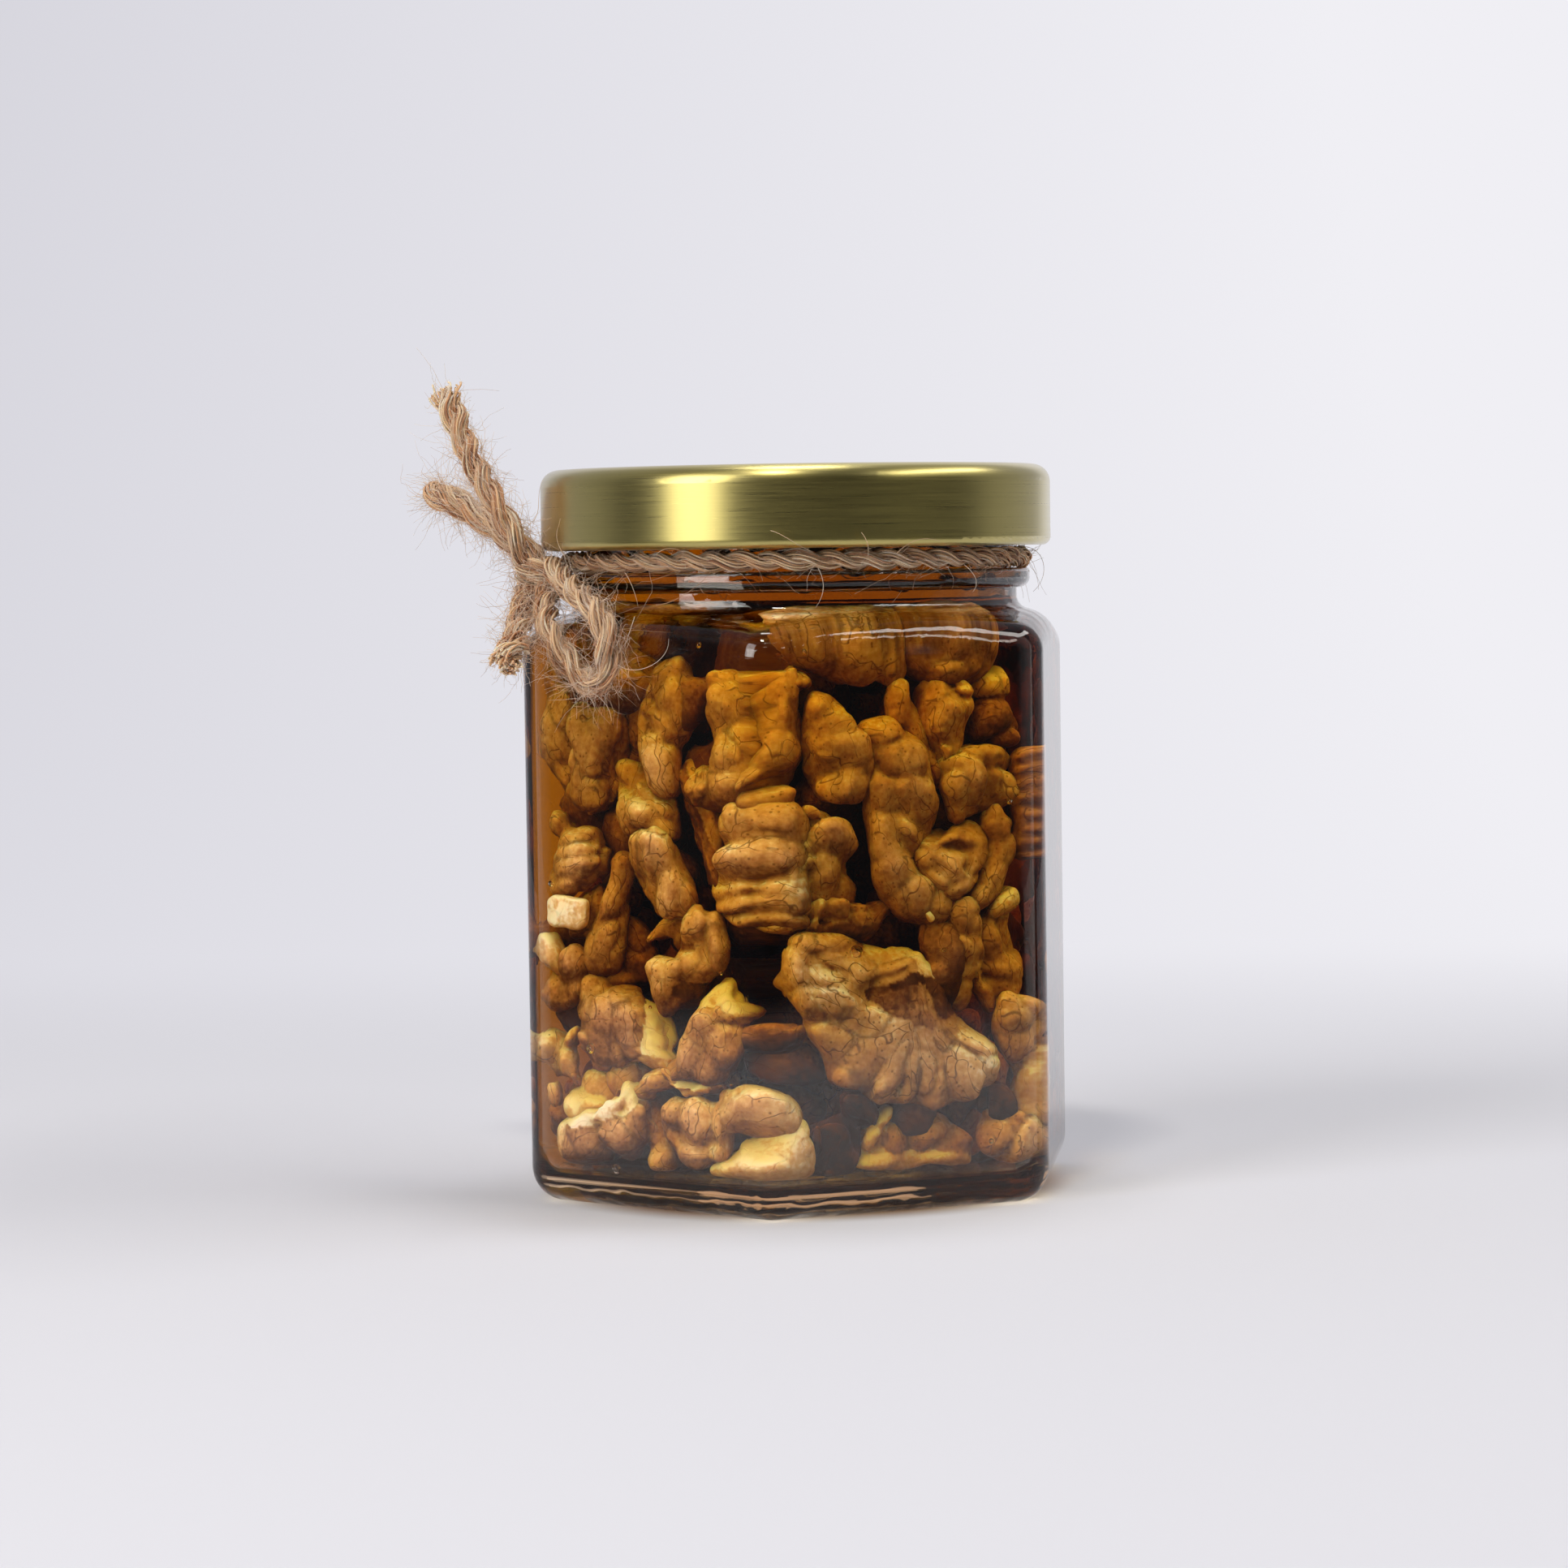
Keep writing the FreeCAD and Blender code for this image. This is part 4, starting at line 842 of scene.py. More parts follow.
# Air bubbles against the two walls: (wall, along, up, radius).
BUBBLES = (
    ("right", -6.8, 33.3, 0.9), ("left", -8.5, 20.5, 0.7), ("left", -4.7, 5.4, 0.7),
    ("left", -14.7, 41.2, 0.4), ("right", 14.5, 51.3, 0.4), ("left", -14.2, 71.0, 0.35),
    ("right", -13.2, 70.6, 0.3), ("left", 9.8, 71.4, 0.35), ("left", 1.2, 26.2, 0.25),
    ("right", 5.2, 33.0, 0.3), ("left", 12.6, 31.0, 0.25), ("right", 11.4, 8.6, 0.35),
)
SKINS = {
    "shard": (0.26, 0.5, {"left": [
        (-3.2, 43.0, 4.6, 2.0, 1.0, 1.3, 25, 0.5), (-4.8, 38.8, 4.0, 5.4, 1.5, 1.8, 14, 0.56),
        (-6.7, 33.6, 3.6, 4.0, 2.1, 2.0, 18, 0.6), (-7.8, 31.6, 3.6, 2.2, 1.7, 1.8, 30, 0.56),
        (-9.4, 37.6, 6.0, 4.2, 2.0, 2.0, 20, 0.42),
    ]}),
    "hanging_skin": (0.3, 0.3, {"left": [
        (8.2, 52.2, 4.2, 3.2, 0.6, 0.9, -14, 0.36), (9.8, 47.8, 4.6, 3.4, 0.5, 0.9, -22, 0.3),
        (12.1, 43.6, 4.4, 2.6, 0.7, 1.0, -30, 0.36), (10.3, 50.8, 5.2, 4.2, 1.4, 0.6, -12, 0.72),
    ]}),
    "membrane": (0.5, 0.25, {"left": [
        (7.4, 16.4, 2.6, 3.2, 0.5, 1.2, 87, 0.9), (4.6, 17.1, 2.8, 1.5, 0.4, 0.8, -60, 0.6),
        (11.6, 16.7, 3.0, 2.4, 0.35, 0.8, 82, 0.5),
    ]}),
    "stick": (0.2, 0.5, {"left": [(17.5, 23.0, 5.0, 3.4, 1.7, 1.6, 88, 0.36)]}),
    "dark_right": (0.6, 0.4, {"right": [
        (12.2, 61.2, 5.0, 3.2, 2.7, 2.4, 10, 0.3), (11.0, 65.5, 5.0, 1.5, 1.4, 1.6, 40, 0.8),
        (13.3, 65.8, 5.0, 1.4, 0.9, 1.4, -10, 0.8), (14.4, 59.0, 5.4, 2.0, 1.6, 1.8, -10, 0.36),
    ]}),
    "stacked_ribs": (0.3, 0.3, {"right": [
        (16.9, 56.8 - 1.7 * i, 4.0, 2.2, 0.85, 1.8, 90, 0.5) for i in range(8)
    ]}),
    "red_skins": (0.5, 0.3, {"right": [
        (-7.8, 13.9, 3.4, 3.0, 1.3, 0.8, -58, 0.08), (-5.8, 12.8, 3.4, 1.8, 0.9, 0.8, -40, 0.1),
        (-11.2, 9.6, 3.7, 3.0, 2.8, 0.9, 10, 0.04), (-9.4, 6.8, 3.4, 2.6, 1.3, 0.9, 70, 0.08),
    ]}),
    "red_skin_right": (0.5, 0.3, {"right": [
        (12.4, 13.7, 4.0, 2.4, 1.7, 1.2, -70, 0.12), (10.6, 15.0, 4.4, 1.6, 1.2, 1.0, -40, 0.14),
    ]}),
    "curled_husk": (0.5, 0.3, {"right": [(-13.0, 10.2, 2.4, 2.0, 0.7, 0.8, 6, 0.2)]}),
}


PLUMPNESS = np.array((1.08, 1.2, 1.1))
LEAN_HEIGHT = 36.0
LEAN_BACK = 0.07  # how much deeper kernels lie for each mm above that height


def wall_lobes(pieces):
    """A kernel's lobes as centre, half sizes, axes and tone, from where they show on the walls."""
    lobes = []
    for wall, rows in pieces.items():
        normal, across = WALLS[wall]
        for along, up, deep, long, wide, thick, lean, *tone in rows:
            lean = math.radians(lean)
            axes = np.array((
                UPWARD * math.cos(lean) + across * math.sin(lean),
                across * math.cos(lean) - UPWARD * math.sin(lean),
                -normal,
            ))
            centre = behind_glass(wall, along, up, deep + LEAN_BACK * max(up - LEAN_HEIGHT, 0))
            size = np.array((long, wide, thick)) * PLUMPNESS
            lobes.append((centre, size, axes, tone[0] if tone else 0.7))
    return lobes


# ---------------------------------------------------------------- walnuts: the rest of the fill
# Rows and columns of lobes in a half, a quarter, a piece and a bit, and how far apart they are.
SPARE_ROWS = ((4, 2), (4, 1), (3, 1), (2, 1))
ROW_PITCH = 3.8
COLUMN_PITCH = 5.2
LOBE_SIZE = np.array((3.7, 2.5, 2.6))


def spare_kernel(rows, columns, seed, tone):
    """The lobes of a loose kernel about the origin, each a little lighter or darker than tone."""
    draw = np.random.default_rng(seed)
    lobes = []
    for row in range(rows):
        for column in range(columns):
            along = (row - (rows - 1) / 2) * ROW_PITCH
            side = (column - (columns - 1) / 2) * COLUMN_PITCH
            # The kernel is domed, and its lobes fan out.
            dome = -0.05 * along**2 - 0.06 * side**2
            centre = np.array((side, dome, along)) + draw.uniform(-0.8, 0.8, 3)
            lean = math.radians(90 - side * 12 + draw.uniform(-30, 30))
            axes = np.array((
                (math.sin(lean), 0, math.cos(lean)),
                (math.cos(lean), 0, -math.sin(lean)),
                (0, 1, 0),
            ))
            size = LOBE_SIZE * draw.uniform(0.8, 1.25, 3)
            lobes.append((centre, size, axes, tone + draw.uniform(-0.18, 0.18)))
    return lobes


# Loose kernels lie this deep behind the front walls and up to this height.
FRONT_DEPTH = 8.5
FILL_TOP = 69.0
FILL_COUNT = 150
FILL_TRIES = 16000
# How far a loose kernel's middle keeps off the next one's, off the lobes at the glass and off
# the walls. Past the core's depth, kernels are hardly seen, and are rougher, and their skin is
# painted darkest there, as painted shade.
FILL_GAP = 7.4
LOBE_GAP = 4.8
WALL_GAP = 2.6
CORE_DEPTH = 8.0
# The fill's two layers: how fine its kernels' grid is, how often it is polished, and their tone,
# lowered as painted shade, most in the core.
FILL_LAYERS = {"walnut_fill_outer": (0.6, 1, 0.6), "walnut_fill_core": (1.1, 0, 0.3)}
# Clear lanes at both sides, by which the backdrop shows through the honey: a point in view at
# the lane's edge, the way square to the lane, and how far the fill keeps off.
LANES = (
    (np.array((-31, -18, 0)), np.array((-0.994, 0.108, 0))),
    (np.array((31, -18, 0)), np.array((0.966, 0.259, 0))),
)
LANE_WIDTH = 7.0


def fill_places(taken):
    """Places inside the room for loose kernels, clear of the lobes whose places are taken."""
    draw = np.random.default_rng(11)
    half = ROOM_FLATS / 2 / math.cos(math.radians(30))
    tries = draw.uniform((-half, -half, ROOM_FLOOR), (half, half, FILL_TOP), (FILL_TRIES, 3))
    behind = [tries @ normal < ROOM_FLATS / 2 - FRONT_DEPTH for normal, _ in WALLS.values()]
    behind += [(tries - edge) @ way < -LANE_WIDTH for edge, way in LANES]
    tries = tries[(outside_room(tries) < -WALL_GAP) & np.all(behind, axis=0)]
    places = np.empty((0, 3))
    for place in tries:
        apart = np.min(np.linalg.norm(places - place, axis=1), initial=1e3)
        at_front = np.min(np.linalg.norm(taken - place, axis=1))
        if at_front > LOBE_GAP and apart > FILL_GAP:
            places = np.vstack((places, place))
        if len(places) == FILL_COUNT:
            break
    return places


def walnut_skin():
    """Walnut kernel in honey: tan papery skin with thin branching dark veins, and painted shade
    that darkens its furrows.

    Tone picks the skin from dark red-brown to the cream of a broken face. The skin is painted
    paler where it faces up and browner where it faces down: painted light for the light that
    enters the thin lobes from above and makes their upper edges glow.
    """
    material, tree = new_material("walnut_kernel")
    tone = add(tree, "Attribute", {"attribute_name": "tone"}).outputs["Fac"]
    furrow_shade = add(tree, "Attribute", {"attribute_name": "furrow_shade"}).outputs["Fac"]
    grain = add(tree, "Attribute", {"attribute_name": "grain"}).outputs["Vector"]
    place = add(tree, "TexCoord").outputs["Object"]
    blotch = add(tree, "TexNoise", Vector=place, Scale=1 / (7 * MM), Detail=4.0)
    shifted = add(tree, "Math", "MULTIPLY_ADD", _0=blotch.outputs["Fac"], _1=0.7, _2=-0.65)
    # Painted light: the skin is painted paler where it faces up and browner where it faces down,
    # for light that comes through the lobes from above.
    lie = add(tree, "SeparateXYZ", Vector=add(tree, "NewGeometry").outputs["Normal"]).outputs["Z"]
    painted_top_light = add(tree, "Math", "MULTIPLY_ADD", _0=lie, _1=0.3, _2=shifted)
    # Papery flecks: the same fine wrinkles that lift the skin darken and lighten it.
    wrinkle = add(tree, "TexNoise", Vector=place, Scale=1 / (0.7 * MM), Detail=5.0)
    flecks_and_top_light = add(tree, "Math", "MULTIPLY_ADD", _0=wrinkle.outputs["Fac"], _1=0.5, _2=painted_top_light)
    tone_flecks_and_top_light = add(tree, "Math", _0=tone, _1=flecks_and_top_light)
    skin = set_ramp(
        add(tree, "ValToRGB", Fac=tone_flecks_and_top_light),
        ((0.0, "2a0e07"), (0.3, "6c3c1e"), (0.52, "a46c40"), (0.72, "c8935f"), (0.88, "dcb083"),
         (1.0, "f0dbc2")),
    )
    # Veins: cells drawn out along each lobe, whose borders are the thin dark lines.
    wander = add(tree, "TexNoise", Vector=grain, Scale=0.3, Detail=1.0)
    bent = add(
        tree, "VectorMath", "MULTIPLY_ADD",
        _0=wander.outputs["Color"], _1=(3.6, 3.6, 3.6), _2=grain,
    )
    drawn_out = add(tree, "Mapping", Vector=bent, Scale=(0.13, 0.5, 0.38))
    cells = add(tree, "TexVoronoi", {"feature": "DISTANCE_TO_EDGE"}, Vector=drawn_out, Scale=1.0)
    line = add(
        tree, "MapRange", SMOOTH,
        Value=cells.outputs["Distance"], From_Min=0.004, From_Max=0.034, To_Min=1.0, To_Max=0.0,
    )
    patches = add(tree, "TexNoise", Vector=place, Scale=1 / (7 * MM))
    shown = add(tree, "MapRange", SMOOTH, Value=patches.outputs["Fac"], From_Min=0.36, From_Max=0.5)
    vein = add(tree, "Math", "MULTIPLY", _0=line, _1=shown)
    # Speckles: single dark grains of skin.
    grit = add(tree, "TexVoronoi", Vector=place, Scale=1 / (0.9 * MM))
    speck = add(
        tree, "MapRange", SMOOTH,
        Value=grit.outputs["Distance"], From_Min=0.1, From_Max=0.26, To_Min=0.6, To_Max=0.0,
    )
    # Painted shade in the furrows darkens the skin towards the same brown as its real veins and
    # specks.
    dark = add(
        tree, "Math", "MAXIMUM",
        _0=add(tree, "Math", "MULTIPLY", _0=vein, _1=0.7),
        _1=add(tree, "Math", "MULTIPLY", _0=furrow_shade, _1=0.85),
    )
    darker = add(tree, "Math", "MAXIMUM", _0=dark, _1=speck)
    kept = add(tree, "MapRange", Value=tone, From_Min=0.8, From_Max=0.88, To_Min=1.0, To_Max=0.1)
    shade = add(tree, "Math", "MULTIPLY", _0=darker, _1=kept)
    colour = add(tree, "Mix", {"data_type": "RGBA"}, _0=shade, _6=skin, _7=linear("4e240f"))
    relief = add(tree, "Math", "MULTIPLY_ADD", _0=vein, _1=-0.7, _2=wrinkle.outputs["Fac"])
    bump = add(tree, "Bump", Strength=0.7, Distance=0.13 * MM, Height=relief)
    shader = add(
        tree,
        "BsdfPrincipled",
        Base_Color=colour.outputs[2],
        Roughness=0.5,
        Specular_IOR_Level=0.1,
        Subsurface_Weight=0.5,
        Subsurface_Radius=(2.2, 1.0, 0.35),
        Subsurface_Scale=1.0 * MM,
        Normal=bump,
    )
    add(tree, "OutputMaterial", Surface=shader)
    return material


def kernels_piece(name, kernels, material):
    """Joins kernels into one piece and stores what their finish reads at each point."""
    points, quads, values, first = [], [], {"furrow_shade": [], "tone": [], "grain": []}, 0
    for kernel_points, kernel_quads, kernel_values in kernels:
        points.append(kernel_points)
        quads.append(kernel_quads + first)
        first += len(kernel_points)
        for key, rows in values.items():
            rows.append(kernel_values[key])
    points, quads = np.concatenate(points) * MM, np.concatenate(quads)
    mesh = bpy.data.meshes.new(name)
    mesh.vertices.add(len(points))
    mesh.vertices.foreach_set("co", points.ravel())
    mesh.loops.add(quads.size)
    mesh.loops.foreach_set("vertex_index", quads.ravel())
    mesh.polygons.add(len(quads))
    mesh.polygons.foreach_set("loop_start", np.arange(0, quads.size, 4))
    mesh.update(calc_edges=True)
    for key, kind, field in (
        ("furrow_shade", "FLOAT", "value"),
        ("tone", "FLOAT", "value"),
        ("grain", "FLOAT_VECTOR", "vector"),
    ):
        layer = mesh.attributes.new(key, kind, "POINT")
        layer.data.foreach_set(field, np.concatenate(values[key]).ravel())
    mesh.validate()
    return new_piece(name, mesh, material)


def chip_mesh(wall, along, up, deep, half_sizes, lean, tone):
    """A chip broken off a kernel: a block with soft corners and a slightly uneven face."""
    body = bmesh.new()
    bmesh.ops.create_cube(body, size=2)
    bmesh.ops.subdivide_edges(body, edges=body.edges, cuts=21, use_grid_fill=True)
    points = np.array([v.co for v in body.verts])
    quads = np.array([[v.index for v in face.verts] for face in body.faces])
    body.free()
    # Between a ball, which the second power gives, and a cube: flat sides and soft edges.
    points /= (points**4).sum(axis=1, keepdims=True) ** 0.25
    points *= half_sizes
    points += drift(points + 40, 1.8, 7) * 0.22 + drift(points + 40, 0.6, 8) * 0.05
    centre, _, axes, _ = wall_lobes({wall: [(along, up, deep, 1, 1, 1, lean)]})[0]
    plain = np.zeros(len(points))
    return centre + points @ axes, quads, {"furrow_shade": plain, "tone": plain + tone, "grain": points}


def make_bubbles():
    """Air bubbles that rest against the inside of the two front walls."""
    body = bmesh.new()
    for wall, along, up, radius in BUBBLES:
        place = Matrix.Translation(Vector(behind_glass(wall, along, up, radius + 0.1) * MM))
        bmesh.ops.create_icosphere(body, subdivisions=3, radius=radius * MM, matrix=place)
    mesh = bpy.data.meshes.new("air_bubbles")
    body.to_mesh(mesh)
    body.free()
    new_piece("air_bubbles", mesh, air_bubble())


def make_walnuts():
    """All kernels: those that press against the two front walls, and the fill behind them."""
    material = walnut_skin()
    taken = []
    for name, group, step in (
        ("walnut_hero_half", HERO, 0.3),
        ("walnut_halves", HALVES, 0.42),
        ("walnut_lobes", LOBES, 0.42),
        ("walnut_broken", BROKEN, 0.42),
        ("walnut_skins", SKINS, 0.36),
    ):
        kernels = []
        for seed, (wrinkle, blend, pieces) in enumerate(group.values()):
            lobes = wall_lobes(pieces)
            taken += [centre for centre, _, _, _ in lobes]
            kernels.append(kernel_mesh(lobes, wrinkle, blend, 10 * seed + 3, step))
        kernels_piece(name, kernels, material)
    kernels_piece("walnut_chips", [chip_mesh(*chip) for chip in CHIPS], material)
    fill = {name: [] for name in FILL_LAYERS}
    draw = np.random.default_rng(5)
    for number, place in enumerate(fill_places(np.array(taken))):
        spin = np.array(Matrix.Rotation(draw.uniform(0, math.tau), 3, Vector(draw.normal(size=3))))
        deep = outside_room(place[None])[0] <= -CORE_DEPTH
        layer = "walnut_fill_core" if deep else "walnut_fill_outer"
        step, polish, tone = FILL_LAYERS[layer]
        rows, columns = SPARE_ROWS[draw.integers(0, len(SPARE_ROWS))]
        lobes = [
            (place + spin @ centre, size, axes @ spin.T, shade)
            for centre, size, axes, shade in spare_kernel(rows, columns, 40 + number, tone)
        ]
        wrinkle = draw.uniform(0.3, 0.8)
        kernel = kernel_mesh(lobes, wrinkle, 0.6, seed=500 + number, step=step, polish=polish)
        fill[layer].append(kernel)
    for name, kernels in fill.items():
        kernels_piece(name, kernels, material)


# ---------------------------------------------------------------- jute twine
TWINE = 2.4 * MM  # pressed, as the CAD tubes are
LOFTY = 3.6 * MM  # with its loose outer fibres
TWINE_LAY = 9.0 * MM
KNOT_TURN = math.radians(199)
KNOT_REACH = 32.85
KNOT_HEIGHT = 80.4
WRAP_RADIUS = 29.5
WRAP_HEIGHT = 81.9
WRAP_OPEN = math.radians(3)  # where its ends go into the knot
BOUND = 2.9 * MM  # where it is pulled tight
BOUND_LAY = 7.4 * MM
FRAY_LENGTH = 9 * MM
HAIR_RADIUS = 0.032 * MM
STRAY_RADIUS = 0.05 * MM
# Shares of the twine's width: how far out its two plies lie, how deep they are, how far their
# fibres wander, and a fibre's own radius.
PLY_OUT = 0.17
PLY_DEPTH = 0.3
FIBRE_WANDER = 0.26
FIBRE_RADIUS = 0.042

# The knot is two turns of twine. Their middle is this far out and up from the knot's centre,
# in mm, and they have these half sizes and drop this far.
KNOT_WINDING = 2 * math.tau
KNOT_OUT = 0.9
KNOT_UP = 0.9
KNOT_HALF_OUT = 2.3
KNOT_HALF_ALONG = 2.9
KNOT_DROP = 2.6

# Points of each free length of twine, in mm from the knot's centre: outwards from the jar,
# along the neck towards the front edge, and up. Each runs round its loop, through the knot
# and out along its tail.
BOW_ROUTES = {
    "front": (
        (0.0, 1.2, 1.3), (-0.4, 6.0, 0.2), (-1.2, 12.2, -2.0), (-2.4, 18.0, -3.4),
        (-3.4, 22.2, -5.4), (-3.8, 23.6, -8.8), (-3.8, 22.6, -11.8), (-3.0, 20.2, -14.0),
        (-1.5, 17.6, -13.2), (0.6, 16.0, -10.2), (2.2, 12.4, -6.8), (1.4, 6.6, -3.6),
        (-0.2, 1.2, -1.2), (1.4, 0.4, 0.8), (4.0, 1.0, 4.6), (6.2, -0.8, 9.0),
        (8.2, -4.2, 13.2), (9.8, -8.6, 18.6), (11.2, -13.6, 24.6),
    ),
    "rear": (
        (0.2, -1.2, 1.3), (3.0, -4.8, 4.0), (6.4, -8.4, 6.8), (9.8, -12.6, 9.2),
        (12.2, -16.8, 10.8), (12.0, -20.6, 11.2), (9.0, -22.6, 10.4), (5.6, -20.8, 8.4),
        (3.0, -16.0, 5.8), (1.6, -10.4, 2.6), (0.6, -5.6, 0.0), (0.0, -1.2, -1.2),
        (1.8, 0.4, -1.0), (4.2, 4.4, -4.2), (5.4, 10.2, -6.8), (6.6, 15.8, -9.0),
        (9.0, 21.2, -11.0),
    ),
}
BOW_REPLACES = {
    "front": ("twine_loop_front", "twine_tail_rear"),
    "rear": ("twine_loop_rear", "twine_tail_front"),
}

# Single hairs that stand off the twine, each through points in mm: right, near and up.
STRAY_HAIRS = (
    ((-33.9, 8, 87.2), (-33.1, 9, 88.9), (-33.0, 9, 90.6), (-32.4, 9, 92.6)),
    ((-29.2, 17, 82.4), (-30.4, 16, 84.9), (-30.3, 15.4, 86.4), (-30.0, 15, 87.6)),
    ((-17.4, 30.4, 82.9), (-15.6, 31.2, 83.6), (-14.2, 31.6, 83.1), (-13.6, 31, 82.2)),
    ((-3.2, 34.5, 85.6), (-1.6, 34.6, 84.9), (0.2, 34.4, 83.8), (2.0, 33, 82.9)),
    ((-21.4, 27.2, 80.6), (-20.4, 28.6, 78.6), (-19.8, 29.4, 76.4)),
    ((-17.6, 29.4, 76.6), (-14.4, 31.2, 77.6), (-11.6, 31.4, 79.6), (-10.8, 30.6, 80.9)),
    ((-20.2, 31, 75.2), (-21.0, 30.4, 73.0), (-21.6, 30, 71.4)),
    ((-22.6, 29, 69.4), (-20.0, 30.4, 68.6), (-17.2, 31.6, 69.8), (-16.0, 32, 72.4)),
    ((-33.8, 15, 78.0), (-36.4, 15, 78.4), (-38.9, 14, 79.1)),
    ((29.2, 8, 83.2), (31.4, 9, 82.0), (31.8, 9, 79.6), (30.4, 10, 77.4)),
    ((8.0, 33.8, 85.2), (8.8, 34.2, 83.2), (8.2, 33.2, 81.0)),
    ((2.6, 31.6, 80.9), (3.2, 32.4, 78.4), (2.2, 32.2, 76.0)),
    ((12.4, 31.2, 82.6), (15.0, 30.6, 84.2), (17.8, 29.6, 84.0)),
    ((21.0, 24.6, 81.0), (22.4, 24.6, 79.2), (22.0, 24.8, 77.6)),
    ((-26.4, 26, 66.0), (-24.2, 27.4, 64.4), (-23.4, 28, 62.2)),
    ((-31.4, 20, 73.6), (-33.8, 20.4, 71.2), (-35.0, 20, 68.4), (-34.6, 20, 66.0)),
)


def bow_point(out, along, up):
    """A point of the bow, in metres."""
    a = KNOT_TURN
    x = (KNOT_REACH + out) * math.cos(a) - along * math.sin(a)
    y = (KNOT_REACH + out) * math.sin(a) + along * math.cos(a)
    return Vector((x, y, KNOT_HEIGHT + up)) * MM


def twine_path(name, points):
    """A smooth curve with these control points, and the points that it runs through."""
    data = bpy.data.curves.new(name, "CURVE")
    data.dimensions = "3D"
    spline = data.splines.new("NURBS")
    spline.points.add(len(points) - 1)
    for control, point in zip(spline.points, points):
        control.co = (*point, 1.0)
    spline.order_u = 3
    spline.use_endpoint_u = True
    spline.resolution_u = 16
    path = bpy.data.objects.new(name, data)
    bpy.context.scene.collection.objects.link(path)
    bpy.context.view_layer.update()
    line = bpy.data.meshes.new_from_object(path)
    return path, [tuple(v.co) for v in line.vertices]


